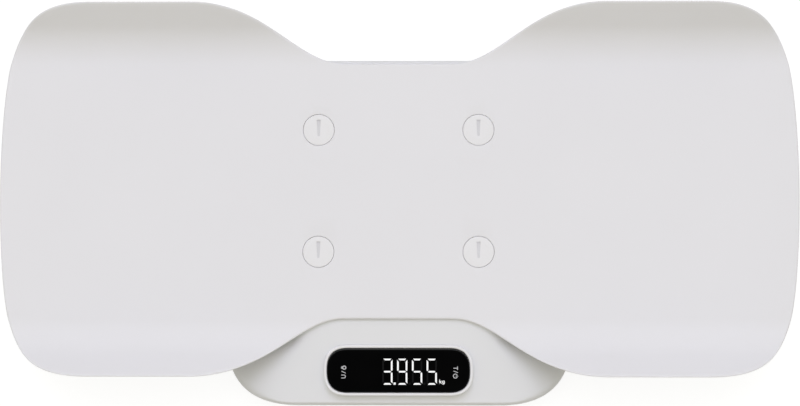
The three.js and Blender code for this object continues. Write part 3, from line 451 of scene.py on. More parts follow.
def moulded(name, colour, roughness, grain_scale, grain_depth, drift, coat=0.0):
    """Injection-moulded plastic: a slow drift of tone, fine tool grain and uneven gloss."""
    made, tree, shader = new_material(name)
    factor = spread(tree, noise(tree, 14, 3, 0.5), 0, 1)
    light = tuple(min(1.0, c * (1 + drift)) for c in colour)
    dark = tuple(c * (1 - drift) for c in colour)
    flow = bump(tree, noise(tree, 60, 2, 0.4), 0.02, 0.25)
    feed(shader, {
        "Base Color": blend_colours(tree, factor, dark, light),
        "Roughness": spread(tree, noise(tree, 90, 5, 0.6), roughness * 0.88, roughness * 1.12),
        "Normal": bump(tree, noise(tree, grain_scale, 4, 0.65), grain_depth, 0.6, Normal=flow),
        "Coat Weight": coat})
    return made


def metal(name, colour, roughness, stretch=None, grain=600, depth=0.006):
    """Plain or brushed metal: the stretch draws the marks out along one axis."""
    made, tree, shader = new_material(name)
    marks = noise(tree, grain, 5, 0.6, stretch)
    dull = tuple(c * 0.86 for c in colour)
    feed(shader, {
        "Base Color": blend_colours(tree, noise(tree, 120, 3, 0.5), colour, dull),
        "Roughness": spread(tree, marks, roughness * 0.75, roughness * 1.3),
        "Normal": bump(tree, marks, depth, 0.5),
        "Metallic": 1})
    return made


def rubbery(name, colour, roughness=0.8):
    """Rubber or cable sheath with fine pits and pale dust."""
    made, tree, shader = new_material(name)
    dust = noise(tree, 220, 6, 0.7)
    pale = tuple(c * 1.5 + 0.01 for c in colour)
    pits = texture(tree, "ShaderNodeTexVoronoi", 1600).outputs["Distance"]
    feed(shader, {
        "Base Color": blend_colours(tree, spread(tree, dust, 0, 1, 0.35, 0.75), colour, pale),
        "Roughness": spread(tree, dust, roughness * 0.9, roughness * 1.1),
        "Normal": bump(tree, pits, 0.05, 0.5),
        "Specular IOR Level": 0.3})
    return made


def glossy_black(name, specular):
    """Hard-coated smoked window: nearly black, with faint dust and wipe marks in its gloss."""
    made, tree, shader = new_material(name)
    wipe = noise(tree, 45, 4, 0.55)
    black, dusty = (0.0007, 0.0007, 0.0008), (0.0014, 0.0014, 0.0015)
    feed(shader, {
        "Base Color": blend_colours(tree, spread(tree, wipe, 0, 1), black, dusty),
        "Roughness": spread(tree, wipe, 0.06, 0.11),
        "Normal": bump(tree, noise(tree, 25, 1, 0.3), 0.03, 0.15),
        "Specular IOR Level": specular})
    return made


def glowing(name, colour, strength, unevenness=0.12):
    """Light from a diode chip through its segment, or for unlit segments a faint painted glow: a
    little brighter in patches.
    """
    made, tree, shader = new_material(name)
    factor = spread(tree, noise(tree, 260, 1, 0.4), 0, 1)
    dim = tuple(c * (1 - unevenness) for c in colour)
    feed(shader, {
        "Base Color": (0.004, 0.004, 0.004, 1),
        "Specular IOR Level": 0.06,
        "Emission Color": blend_colours(tree, factor, dim, colour),
        "Emission Strength": strength})
    return made


def solder_mask():
    """Green board lacquer over copper: traces show as slightly raised, lighter lines."""
    made, tree, shader = new_material("board_lacquer")
    bricks = {"Mortar Size": 0.06, "Brick Width": 1.7, "Row Height": 0.42}
    for socket, tone in (("Color1", 0.0), ("Color2", 0.12), ("Mortar", 1.0)):
        bricks[socket] = (tone, tone, tone, 1)
    lines = texture(tree, "ShaderNodeTexBrick", 260, **bricks).outputs["Fac"]
    green, copper_green = (0.006, 0.075, 0.028), (0.012, 0.125, 0.045)
    feed(shader, {
        "Base Color": blend_colours(tree, lines, green, copper_green),
        "Roughness": spread(tree, noise(tree, 300, 4, 0.6), 0.25, 0.4),
        "Normal": bump(tree, lines, 0.03, 0.5)})
    return made


def tinted(*levels):
    """A colour from its screen values, 0 to 255."""
    shares = [level / 255 for level in levels]
    return tuple(((share + 0.055) / 1.055) ** 2.4 for share in shares)


tray_plastic = moulded("tray_plastic", tinted(226, 225, 229), 0.42, 2600, 0.004, 0.006)
housing_plastic = moulded("housing_plastic", tinted(225, 225, 228), 0.46, 1800, 0.012, 0.008)
bright_plastic = moulded("bright_plastic", tinted(229, 228, 231), 0.34, 2600, 0.004, 0.006)
foot_plastic = moulded("foot_plastic", tinted(196, 196, 198), 0.5, 1500, 0.02, 0.02)
black_plastic = moulded("black_plastic", (0.009, 0.009, 0.01), 0.5, 2200, 0.01, 0.15)
connector_plastic = moulded("connector_plastic", tinted(226, 214, 184), 0.48, 1800, 0.008, 0.03)
# Painted shade: the lock discs' pointer grooves get a darker, duller plastic whose colour stands in
# for the shade inside the groove
groove_painted_shade = moulded("groove_painted_shade", tinted(217, 216, 219), 0.62, 1500, 0.02, 0.01)
window_gloss = glossy_black("window_gloss", 0.012)
window_edge = glossy_black("window_edge", 0.45)
steel = metal("brushed_steel", (0.46, 0.47, 0.48), 0.34, stretch=(1, 12, 1))
nickel = metal("nickel_plate", (0.58, 0.56, 0.52), 0.24, grain=900, depth=0.003)
rubber = rubbery("pad_rubber", (0.055, 0.055, 0.058))
board_lacquer = solder_mask()
battery_wrap = moulded("battery_wrap", (0.045, 0.115, 0.24), 0.3, 1200, 0.006, 0.08, coat=0.3)
battery_band = moulded("battery_band", (0.52, 0.36, 0.13), 0.28, 1200, 0.006, 0.05, coat=0.3)
grey_wire = rubbery("grey_wire", (0.21, 0.22, 0.23), 0.55)
red_wire = rubbery("red_wire", (0.36, 0.02, 0.014), 0.5)
black_wire = rubbery("black_wire", (0.012, 0.012, 0.013), 0.5)
segment_glow = glowing("segment_glow", (1.0, 1.0, 1.0), 1.05)
legend_glow = glowing("legend_glow", (0.62, 0.62, 0.63), 0.9)
# Painted glow: the unlit segments give off a faint light of their own, standing in for the light
# they would reflect through the window
unlit_segment_painted_glow = glowing("unlit_segment_painted_glow", (0.0011, 0.0011, 0.0013), 1.0, 0.3)


# Tray
def tray_outline():
    shoulder = [(waist_flat_half + a * shoulder_length, waist_half + c * (rim_half - waist_half))
                for a, c in shoulder_shares]
    corner = [(half_length - corner_length + a * corner_length, c * rim_half)
              for a, c in corner_shares]
    flip = lambda points: [(x, -y) for x, y in points]
    return mirrored([
        ([(0, -waist_half), (waist_flat_half, -waist_half)], 12),
        (flip(shoulder), 44),
        (flip([shoulder[3], corner[0]]), 16),
        (flip(corner[:4]), 26),
        (flip(corner[3:]), 30),
        (corner[3:][::-1], 30),
        (corner[:4][::-1], 26),
        ([corner[0], shoulder[3]], 16),
        (shoulder[::-1], 44),
        ([(waist_flat_half, waist_half), (0, waist_half)], 12),
    ])


def trough_height(y, radius):
    """Height of the trough's upper face, or of its lower one, whose bend has the larger radius."""
    centre = tray_top + bend_radius
    across = np.abs(y) - waist_half
    reach = radius * sin(bend_angle)
    bent = centre - np.sqrt(radius ** 2 - np.clip(across, 0, reach) ** 2)
    return bent + np.clip(across - reach, 0, None) * tan(bend_angle)


def make_tray():
    outline = tray_outline()
    normal = outward(outline)
    upper = lambda plan: trough_height(plan[:, 1], bend_radius)
    lower = lambda plan: trough_height(plan[:, 1], bend_radius + tray_thickness)
    up_the_wall = np.clip((np.abs(outline[:, 1]) - waist_half) / (rim_half - waist_half), 0, 1)
    edge = rim_round + rim_round_more * up_the_wall
    inner = outline - edge[:, None] * normal
    spine_share = 0.75
    shares = np.concatenate([[0, 0.2, 0.4, 0.55, 0.64], np.linspace(0.68, 1, 27)[:-1]])

    def face(height):
        """Rings over the upper or lower face, from the middle out to the rim."""
        plans = [inner * (spine_share + (1 - spine_share) * share, share) for share in shares]
        return [at_height(plan, height(plan)) for plan in plans]

    def rim(height, sign):
        """Half of the rounded rim, from its side inward."""
        plans = [(outline - (run * edge)[:, None] * normal, rise) for run, rise in rounding(1.0, 7)]
        return [at_height(plan, height(plan) + sign * edge * (1 - rise)) for plan, rise in plans]

    return add_mesh("tray_shell", *loft(
        face(lower) + rim(lower, 1)[::-1] + rim(upper, -1) + face(upper)[::-1]))


def keyhole(x, y, low, high):
    """The hole that a lock's lug passes through, its length along X."""
    half, across = lug_length / 2 + lock_fit, lug_width / 2 + lock_fit
    radius = lock_shank / 2 + lock_fit
    start = asin(across / radius)
    turns = np.linspace(start, pi - start, 20)
    points = [(half, -across), (half, across)]
    points += [(radius * cos(a), radius * sin(a)) for a in turns]
    points += [(-half, across), (-half, -across)]
    points += [(radius * cos(a), radius * sin(a)) for a in turns + pi]
    return prism([(x + px, y + py) for px, py in points], low, high)


def flared_hole(radius, x, y, low, top, edge):
    """A cutter for a round hole whose upper edge is rounded."""
    profile = [(0, low), (radius, low), *upper_round(radius, top, edge, 4, sign=1)]
    return turned(profile + [(radius + edge, top + 4), (0, top + 4)], x, y)


locks = lock_places.values()
lock_seat = tray_top - lock_sunk - lock_head - gap
boss_low = tray_bottom - boss_height

tray = make_tray()
boss_profile = [(0, boss_low), (boss_radius - boss_edge, boss_low),
                (boss_radius, boss_low + boss_edge), (boss_radius, tray_bottom + boss_overlap),
                (0, tray_bottom + boss_overlap)]
join(tray, each(locks, lambda x, y: turned(boss_profile, x, y)))
cut(tray,
    each(locks, lambda x, y: flared_hole(
        lock_diameter / 2 + disc_gap, x, y, lock_seat, tray_top, lock_hole_edge)),
    each(locks, lambda x, y: keyhole(x, y, boss_low - 4, lock_seat + 1)))
dress(tray, tray_plastic, ["tray"], "tray", sharp=38)


# Locks
def make_lock(name, x, y):
    top = tray_top - lock_sunk
    low = top - lock_head
    radius, shank = lock_diameter / 2, lock_shank / 2
    lug_top = socket_bottom - gap
    profile = [(0, lug_top - 0.5), (shank - 0.3, lug_top - 0.5), (shank, lug_top - 0.2),
               (shank, low), (radius, low), *upper_round(radius, top, lock_edge, 4),
               (radius * 0.6, top), (0, top)]
    piece = add_mesh(name, *turned(profile, x, y))
    lug = block(lug_length, lug_width, lug_height, x, y, lug_top - lug_height)
    join(piece, lug)
    half_rear, half_front = pointer_rear_width / 2, pointer_front_width / 2
    plan = [(-half_front, -pointer_front), (half_front, -pointer_front),
            (half_rear, pointer_rear), (-half_rear, pointer_rear)]
    shares = [pointer_front_share, pointer_front_share, pointer_rear_share, pointer_rear_share]
    floor = [(x + px, y + py, top - pointer_depth * share) for (px, py), share in zip(plan, shares)]
    side = [(x + px, y + py, top - 0.02) for px, py in plan]
    mouth = [(x + px + copysign(pointer_flare, px), y + py + copysign(pointer_flare, py),
              top + 0.6) for px, py in plan]
    return cut(piece, loft([floor, side, mouth], capped=True))


for name, (x, y) in lock_places.items():
    piece = make_lock(f"lock_disc_{name}", x, y)
    dress(piece, bright_plastic, [f"tray_lock_{name}"], f"lock_{name}", sharp=30,
          bevel=0.08)
    # The pointer groove's faces take the darker groove colour, painted shade standing in for the
    # shade in the recess
    finish_faces(piece, groove_painted_shade, lambda px, py, pz, up: (
        abs(px - x) < pointer_rear_width / 2 + 0.05
        and -pointer_front - 0.1 < py - y < pointer_rear + 0.1
        and tray_top - 2.0 < pz < tray_top - lock_sunk - 0.03))


# Base outlines
front_handle = 0.72
side_handle = 0.6
rear_handle = 0.58
flare_fold = 0.4
flare_tip = 0.33
tip_width = 0.86
front_steps, corner_steps, flare_steps, side_steps, rear_steps, back_steps = 22, 26, 16, 40, 18, 12


def rear_end(w, r, corner):
    """An outline's rounded rear corner and straight rear edge."""
    return [
        ([(w, r - corner), (w, r - corner + rear_handle * corner),
          (w - corner + rear_handle * corner, r), (w - corner, r)], rear_steps),
        ([(w - corner, r), (0, r)], back_steps),
    ]


def base_outline(inset):
    w, f, r = base_half - inset, base_front - inset, base_rear - inset
    cw, cd, rear = front_corner_width - inset, front_corner_depth - inset, rear_corner - inset
    return mirrored([
        ([(0, -f), (w - cw, -f)], front_steps),
        ([(w - cw, -f), (w - cw + front_handle * cw, -f), (w, -f + cd - side_handle * cd),
          (w, -f + cd)], corner_steps),
        ([(w, -f + cd), (w, -f + cd + deck_flare_depth)], flare_steps),
        ([(w, -f + cd + deck_flare_depth), (w, r - rear)], side_steps),
        *rear_end(w, r, rear),
    ])


def deck_outline(inset):
    w, f = deck_half - inset, base_front - deck_edge_run - inset
    r = base_rear - deck_edge_run - inset
    flare_x, flare_y = w + deck_flare_width, -deck_fold - deck_flare_depth + inset
    front_half = deck_front_half - inset
    tip_x = front_half + tip_width * deck_flare_width
    run = flare_tip * deck_flare_width
    slope = deck_flare_depth / deck_flare_width
    return mirrored([
        ([(0, -f), (front_half, -f)], front_steps),
        ([(front_half, -f), (tip_x, -f), (flare_x + run, flare_y - run * slope),
          (flare_x, flare_y)], corner_steps),
        ([(flare_x, flare_y), (flare_x - run, flare_y + run * slope),
          (w, -deck_fold - flare_fold * deck_flare_depth), (w, -deck_fold)], flare_steps),
        ([(w, -deck_fold), (w, r - deck_rear_corner)], side_steps),
        *rear_end(w, r, deck_rear_corner),
    ])


def deck_height(y):
    """The flat top's height, with a soft fold where it turns down to the front."""
    past = -np.asarray(y, float) - deck_fold
    turning = np.where(past <= -fold_soft, 0, (past + fold_soft) ** 2 / (4 * fold_soft))
    return base_top - np.where(past >= fold_soft, past, turning) * tan(deck_tilt)


slope_stations = [
    (deck_edge_run - base_front, round_slope),
    (-deck_fold - creased_past_fold, creased_slope),
    (-deck_fold + soft_behind_fold, soft_slope),
    (base_rear - deck_edge_run - rear_round_run, soft_slope),
    (base_rear - deck_edge_run, round_slope),
]


def slope_at(y):
    """The slope's four control points at a place along the edge of the flat top."""
    places = [place for place, _ in slope_stations]
    shapes = np.array([shares for _, shares in slope_stations], float)
    return np.array([[np.interp(y, places, shapes[:, i, k]) for k in (0, 1)] for i in range(4)])


def cover_rings(inset, slope_steps):
    """Rings of the cover's outer or inner form, from its lower edge to its top's centre line."""
    outer, top = base_outline(inset), deck_outline(inset)
    skirt_top = cover_bottom + skirt_height - inset
    deck = deck_height(top[:, 1]) - inset
    slopes = [slope_at(y) for y in top[:, 1]]
    slope = []
    for step in range(slope_steps + 1):
        shares = np.array([curve(points, step / slope_steps) for points in slopes])
        across, up = shares[:, :1], shares[:, 1]
        slope.append(at_height(outer + (top - outer) * across, skirt_top + (deck - skirt_top) * up))
    if inset:
        rings = [at_height(outer, cover_bottom)] + slope
    else:
        rings = [at_height(base_outline(seam_round), cover_bottom),
                 at_height(outer, cover_bottom + seam_round)]
        corner = slope[0]
        below = corner - (0, 0, skirt_round_height)
        towards = slope[3] - corner
        reach = np.linalg.norm(towards, axis=1)
        after = corner + towards * (skirt_round / reach)[:, None]
        for t in np.linspace(0, 1, 9):
            rings.append((1 - t) ** 2 * below + 2 * t * (1 - t) * corner + t * t * after)
        rings += slope[4:]
    for share in np.linspace(0.96, 0, 13):
        plan = top * (share, 0.75 + 0.25 * share)
        rings.append(at_height(plan, deck_height(plan[:, 1]) - inset))
    return rings


# Upper cover
cover = add_mesh("upper_cover", *loft(cover_rings(wall, 14)[::-1] + cover_rings(0.0, 26)))
join(cover, each(locks, lambda x, y: rod(
    2 * (socket_radius + socket_wall), base_top - 1 - socket_bottom, x, y, socket_bottom)))
stop_offset = lug_width / 2 + lock_fit + stop_post / 2
stops = [(x + sign * stop_offset, y - sign * stop_offset) for x, y in locks for sign in (1, -1)]
join(cover, each(stops, lambda x, y: block(
    stop_post, stop_post, stop_post_height + socket_floor / 2, x, y,
    socket_bottom - stop_post_height)))
opening = stadium(gap + bezel_lip)
facing_front = np.clip(-outward(opening)[:, 1:], 0, 1)
opening += outward(opening) * (opening_play + opening_front_play * facing_front)
cut(cover,
    each(locks, lambda x, y: flared_hole(socket_radius, x, y, socket_top, base_top, socket_edge)),
    each(locks, lambda x, y: keyhole(x, y, socket_bottom - 1, socket_top + 1)),
    prism(opening, bezel_bottom, base_top + 5))
dress(cover, housing_plastic, ["base_upper_cover"], sharp=38)


# Display
def make_bezel():
    half_lip = bezel_lip / 2
    section = [(-ledge_width, ledge_top), (-ledge_width, bezel_bottom), (bezel_lip, bezel_bottom)]
    for i in range(12, -1, -1):
        angle = pi * i / 12
        section.append((half_lip - half_lip * cos(angle),
                        bezel_top - bezel_bead + bezel_bead * sin(angle)))
    section.append((0, ledge_top))
    rings = [at_height(stadium(gap + offset), z) for offset, z in section]
    return add_mesh("bezel_ring", *loft(rings + rings[:1]))


def make_window():
    """The pane's rim is rounded off, further in along its rear side."""
    outline = stadium(0)
    normal = outward(outline)
    run = window_rim + window_rim_rear_more * np.clip(normal[:, 1], 0, 1) ** 2
    rings = [at_height(outline, window_bottom)]
    for inset, up in rounding(1.0, 6):
        plan = outline - (run * inset)[:, None] * normal
        rings.append(at_height(plan, window_top - window_rim * (1 - up)))
    return add_mesh("window_pane", *loft(rings, capped=True))


dress(make_bezel(), bright_plastic, ["display_bezel"], sharp=38)
pane = dress(make_window(), window_gloss, ["display_window"], sharp=30)
finish_faces(pane, window_edge, lambda px, py, pz, up: 0.05 < up < 0.999)

# Digits and marks, drawn as thin films on the window's face
film_low = window_top + 0.01
film_high = window_top + 0.04
digit_width = 7.04
digit_height = 17.8
bar = 1.14
bar_gap = 0.42
bar_end = 0.8
bar_lean = 1.0
digit_foot = window_y - 9.75
digit_rights = (-4.02, 6.13, 16.34, 26.38)
lit_bars = {"3": "abcdg", "9": "abcdfg", "5": "acdfg"}
point_size = 1.5
point_offset = 1.45


def digit_bars():
    """The seven bars of one digit, from its lower left corner."""
    w, h, t, g = digit_width, digit_height, bar, bar_gap
    half = h / 2
    e, lean = bar_end, bar_lean
    top = [(e, h), (e + lean, h - t), (w - e - lean, h - t), (w - e, h)]
    upper_right = [(w, h - e), (w - t, h - e - 1.3 * lean), (w - t, half + g + t / 2),
                   (w - t / 2, half + g), (w, half + t / 2 + g)]
    centre = [(g + t / 2, half), (g + t, half + t / 2), (w - g - t, half + t / 2),
              (w - g - t / 2, half), (w - g - t, half - t / 2), (g + t, half - t / 2)]
    flip_x = lambda points: [(w - x, y) for x, y in points]
    flip_y = lambda points: [(x, h - y) for x, y in points]
    return {"a": top, "b": upper_right, "c": flip_y(upper_right), "d": flip_y(top),
            "e": flip_x(flip_y(upper_right)), "f": flip_x(upper_right), "g": centre}


def counterclockwise(points):
    area = sum(a[0] * b[1] - b[0] * a[1] for a, b in zip(points, points[1:] + points[:1]))
    return points if area > 0 else points[::-1]


def film(points):
    return prism(counterclockwise(points), film_low, film_high)


def stroke(points, width, closed=False):
    """A ribbon of even width along a line, with mitred joints."""
    line = np.asarray(points, float)
    if closed:
        before, after = np.roll(line, 1, axis=0), np.roll(line, -1, axis=0)
    else:
        before = np.vstack([2 * line[0] - line[1], line[:-1]])
        after = np.vstack([line[1:], 2 * line[-1] - line[-2]])
    unit = lambda v: v / np.linalg.norm(v, axis=1)[:, None]
    leftward = lambda v: np.column_stack([-v[:, 1], v[:, 0]])
    first, second = unit(line - before), unit(after - line)
    normal = leftward(unit(first + second))
    stretch = width / 2 / np.clip((normal * leftward(first)).sum(axis=1), 0.5, 1)
    left, right = line + normal * stretch[:, None], line - normal * stretch[:, None]
    parts = []
    for i in range(len(line) if closed else len(line) - 1):
        n = (i + 1) % len(line)
        parts.append(film([right[i], right[n], left[n], left[i]]))
    return merge(*parts)


def arc(cx, cy, radius, start, end, steps):
    turns = np.radians(np.linspace(start, end, steps + 1))
    return [(cx + radius * cos(a), cy + radius * sin(a)) for a in turns]


lit, unlit = [], []
for right_edge, figure in zip(digit_rights, "3955"):
    for key, points in digit_bars().items():
        shape = film([(right_edge - digit_width + x, digit_foot + y) for x, y in points])
        (lit if key in lit_bars[figure] else unlit).append(shape)
for i, right_edge in enumerate(digit_rights):
    shape = film([(right_edge + point_offset + sx * point_size / 2,
                   digit_foot + (sy + 1) * point_size / 2)
                  for sx, sy in ((-1, -1), (1, -1), (1, 1), (-1, 1))])
    (lit if i == 0 else unlit).append(shape)
dress(add_mesh("digits_lit", *merge(*lit)), segment_glow)
# The unlit segments carry a faint painted glow
dress(add_mesh("digits_unlit", *merge(*unlit)), unlit_segment_painted_glow)

# The unit letters kg, upright, at the right of the last digit
kg_x, kg_foot, kg_pen = 28.05, window_y - 9.0, 0.48
kg_wide, kg_tall = 0.85, 0.8
placed = lambda points: [(kg_x + kg_wide * px, kg_foot + kg_tall * py) for px, py in points]
letter_k = [stroke(placed(points), kg_pen) for points in
            ([(0.25, 0), (0.25, 3.5)], [(0.4, 1.1), (1.7, 2.4)], [(0.8, 1.5), (1.8, 0)])]
bowl_x, bowl_y, bowl = 3.2, 1.45, 0.85
tail_y = bowl_y - 1.0
stem = [(bowl_x + bowl, bowl_y + bowl + 0.2), (bowl_x + bowl, tail_y)]
letter_g = [stroke(placed(arc(bowl_x, bowl_y, bowl, 0, 345, 22)), kg_pen, closed=True),
            stroke(placed(stem + arc(bowl_x, tail_y, bowl, 0, -140, 8)[1:]), kg_pen)]
dress(add_mesh("unit_letters", *merge(*letter_k, *letter_g)), segment_glow)

# The two pairs of touch-key marks, each drawn upright and then turned by a quarter
mark_scale = 0.81
pen = 0.62
key_y = window_y - 1.15
unit_x = -37.6
power_x = 39.35


def key_marks(name, x, quarter, *shapes):
    verts, faces = merge(*shapes)
    verts = [(x - quarter * mark_scale * py, key_y + quarter * mark_scale * px, z)
             for px, py, z in verts]
    dress(add_mesh(name, verts, faces), legend_glow)


letter_u = stroke([(-5.0, 1.95), (-5.0, -0.3), *arc(-3.75, -0.3, 1.25, 180, 360, 12)[1:],
                   (-2.5, 1.95)], pen)
slash_left = stroke([(-0.9, -1.75), (0.75, 1.75)], 0.55)
lock_body = stroke(arc(3.75, -0.55, 1.35, 0, 340, 17), 0.75, closed=True)
shackle = stroke([(2.95, 0.75), *arc(3.75, 1.1, 0.8, 180, 0, 10), (4.55, 0.75)], 0.5)
key_marks("unit_key_marks", unit_x, 1, letter_u, slash_left, lock_body, shackle)

letter_t = [stroke([(-3.35, -1.95), (-3.35, 1.2)], pen), stroke([(-4.8, 1.45), (-1.9, 1.45)], pen)]
slash_right = stroke([(-0.95, -1.85), (0.35, 1.85)], 0.55)
power_ring = stroke(arc(3.25, -0.35, 1.72, 118, 422, 24), 0.6)
tick = stroke([(3.25, -0.1), (3.25, 1.95)], 0.55)
key_marks("power_key_marks", power_x, -1, *letter_t, slash_right, power_ring, tick)


# Lower cover
lip_rise = 2.4
lip_wall = 1.4
underside_round = 3.0
well_radius = 20.0
well_roof = base_bottom + 7.5
well_edge = 0.7
cell_rim = 1.2
cell_rim_inner = 28.0
clip_reach = 2.6
clip_width = 5.0
clip_height = 0.8
notch_width = 4.0
notch_height = 3.0
head_height = 2.0
screw_head = 6.0
screw_hole = 3.6
screw_hole_edge = 0.5
screw_post = 10.2
screw_post_roof = 1.8
board_post = 6.0
board_post_spacing = 60.0
compartment_wall = 2.0
door_gap = 0.4
door_edge = 0.5
room_depth = 51.6
room_y = 22.0
room_corner = 1.3
latch_width = 12.0
latch_play = 0.7
tongue_width = 8.0
tongue_spacing = 26.0
tongue_slot = 4.2
sunk = 0.5


def spot(node):
    """A node's lowest and highest corner in millimetres, in the tray's own axes."""
    return [corner - Vector((0, centre_y, 0)) for corner in corners(node)]


def middle(node):
    low, high = spot(node)
    return (low.x + high.x) / 2, (low.y + high.y) / 2


feet = {name: middle(f"foot_{name}") for name in lock_places}
screw_names = [f"{row}_{side}" for row in ("rear", "middle", "front") for side, _ in sides]
screws = {name: middle(f"case_screw_{name}") for name in screw_names}
board_posts = [(side * board_post_spacing / 2, window_y) for _, side in sides]
cell_low, cell_high = spot("load_cell_rear_left")
head_low, head_high = spot("case_screw_rear_left")
screw_seat = head_low.z + head_height + gap
board_low = spot("circuit_board")[0].z
door_low, door_high = spot("battery_door")
battery_low, battery_high = spot("battery_1")
room_width = door_high.x - door_low.x + 2 * door_gap
room_rear, room_front = room_y + room_depth / 2, room_y - room_depth / 2
room_roof = battery_high.z + 0.5


def cupped_hole(radius, x, y, low, top, edge, count=96):
    """A cutter for a round hole from below whose lower edge is rounded."""
    profile = [(0, low - 4), (radius + edge, low - 4), *lower_round(radius, low, edge, 4, sign=1)]
    return turned(profile + [(radius, top), (0, top)], x, y, count)


def post(diameter, top, count):
    """Makes round posts that stand on the shell's floor, sunk a little into it."""
    return lambda x, y: rod(diameter, top - floor_top + sunk, x, y, floor_top - sunk, count)


def make_lower_cover():
    rings = [at_height(base_outline(inset), z)
             for inset, z in lower_round(0, base_bottom, underside_round, 8, sign=1)]
    lip = wall + gap
    for inset, z in ((0, parting - seam_round), (seam_round, parting), (lip, parting),
                     (lip, parting + lip_rise), (lip + lip_wall, parting + lip_rise),
                     (lip + lip_wall, parting - lip_wall), (underside_round, parting - lip_wall),
                     (underside_round, floor_top)):
        rings.append(at_height(base_outline(inset), z))
    shell = add_mesh("lower_cover", *loft(rings, capped=True))
    join(shell, merge(
        each(feet.values(), post(2 * (well_radius + wall), well_roof + wall, 96)),
        each(screws.values(), post(screw_post, screw_seat + screw_post_roof, 48)),
        each(board_posts, post(board_post, board_low - gap, 48))))

    latch_top = door_high.z + latch_play
    latch_depth = door_high.y - room_rear + door_gap + latch_play
    join(shell, block(
        room_width + 2 * compartment_wall, room_depth + 2 * compartment_wall,
        room_roof + compartment_wall - floor_top + sunk, 0, room_y, floor_top - sunk))
    join(shell, block(
        latch_width + 2 * door_gap + 2 * compartment_wall, latch_depth + compartment_wall + sunk,
        latch_top + compartment_wall - floor_top + sunk, 0,
        room_rear + (latch_depth + compartment_wall - sunk) / 2, floor_top - sunk))

    cut(shell, merge(
        each(feet.values(), lambda x, y: cupped_hole(
            well_radius, x, y, base_bottom, well_roof - cell_rim, well_edge)),
        each(screws.values(), lambda x, y: cupped_hole(
            screw_head / 2 + gap, x, y, base_bottom, screw_seat, screw_hole_edge, 48))))
    cut(shell, merge(
        each(feet.values(), lambda x, y: rod(
            cell_rim_inner, 2 * cell_rim, x, y, well_roof - 2 * cell_rim)),
        each(screws.values(), lambda x, y: rod(screw_hole, 6, x, y, screw_seat - 1, 32))))
    room = [at_height(rounded_box(room_width + 2 * flare, room_depth + 2 * flare,
                                  room_corner + flare, room_y), z)
            for flare, z in ((door_edge, base_bottom - 3), (door_edge, base_bottom - 0.02),
                             (0, base_bottom + door_edge), (0, room_roof))]
    cut(shell, loft(room, capped=True))
    cut(shell, block(
        latch_width + 2 * door_gap, latch_depth + 2, latch_top - base_bottom + 3, 0,
        room_rear + latch_depth / 2 - 1, base_bottom - 3))
    cut(shell, merge(*[block(
        tongue_width + 2 * door_gap, tongue_slot + 1, tongue_slot, side * tongue_spacing / 2,
        room_front - tongue_slot / 2 + 0.5, floor_top) for _, side in sides]))
    cut(shell, each(feet.values(), lambda x, y: block(
        3 * wall, notch_width, notch_height, x - copysign(well_radius, x), y,
        cell_low.z - gap)))
    clips = [(x, y + sign * (well_radius - clip_reach / 2 + wall / 4))
             for x, y in feet.values() for sign in (1, -1)]
    return join(shell, each(clips, lambda x, y: block(
        clip_width, clip_reach + wall / 2, clip_height, x, y, cell_low.z - gap - clip_height)))


dress(make_lower_cover(), housing_plastic, ["base_lower_cover"], sharp=38)


# Load cells, feet and pads
tongue_radius = 10.0
slot_radius = 12.5
slot_start = radians(30)
foot_low, foot_high = spot("foot_rear_left")
pad_low, pad_high = spot("foot_pad_rear_left")
cell_radius = (cell_high.x - cell_low.x) / 2
foot_radius = (foot_high.x - foot_low.x) / 2
pad_radius = (pad_high.x - pad_low.x) / 2
foot_top = foot_low.z + 7.0
foot_round = 1.0
foot_boss = 5.0
pad_round = 0.8
pad_grooves = (3.4, 6.2, 9.0, 11.6)
groove_run = 0.9
groove_depth = 0.5


def make_cell(name, x, y):
    """A steel plate cut round its middle tongue, whose neck points to the middle of the base."""
    low, high = cell_low.z, cell_high.z
    plate = add_mesh(name, *prism(circle(cell_radius, x, y), low, high))
    side = -copysign(1, x)
    turns = np.linspace(slot_start, 2 * pi - slot_start, 72)
    slot = [(x + side * (r * cos(a)), y + side * (r * sin(a)))
            for r, way in ((slot_radius, turns), (tongue_radius, turns[::-1])) for a in way]
    return cut(plate, prism(slot, low - 1, high + 1))


def foot_profile():
    recess, mouth = pad_high.z + gap, pad_radius + gap
    return [(0, recess), (mouth, recess), (mouth, foot_low.z + 0.3), (mouth + 0.3, foot_low.z),
            *lower_round(foot_radius, foot_low.z, foot_round, 6),
            *upper_round(foot_radius, foot_top, foot_round, 6),
            (foot_boss + 0.6, foot_top), (foot_boss + 0.15, foot_top + 0.15),
            (foot_boss, foot_top + 0.6), (foot_boss, foot_high.z - 0.3),
            (foot_boss - 0.3, foot_high.z), (0, foot_high.z)]


def pad_profile():
    low, high = pad_low.z, pad_high.z
    profile = [(0, low)]
    for start in pad_grooves:
        profile += [(start, low), (start + 0.15, low + groove_depth),
                    (start + groove_run - 0.15, low + groove_depth), (start + groove_run, low)]
    return profile + [*lower_round(pad_radius, low, pad_round, 5), (pad_radius, high - 0.2),
                      (pad_radius - 0.2, high), (0, high)]


for name, (x, y) in feet.items():
    plate = make_cell(f"load_cell_plate_{name}", x, y)
    dress(plate, steel, [f"load_cell_{name}"], sharp=30, bevel=0.15)
    foot = add_mesh(f"foot_cup_{name}", *turned(foot_profile(), x, y))
    dress(foot, foot_plastic, [f"foot_{name}"])
    pad = add_mesh(f"rubber_pad_{name}", *turned(pad_profile(), x, y))
    dress(pad, rubber, [f"foot_pad_{name}"], sharp=40)


# Case screws
thread_pitch = 0.8
thread_depth = 0.35
thread_start = 1.2
head_round = 0.9
cross_reach = 1.7
cross_half = 0.42
cross_depth = 1.3


def cross(reach, half, x, y, z):
    points = [(half, -reach), (half, -half), (reach, -half), (reach, half), (half, half),
              (half, reach)]
    points += [(-px, -py) for px, py in points]
    return [(x + px, y + py, z) for px, py in points]


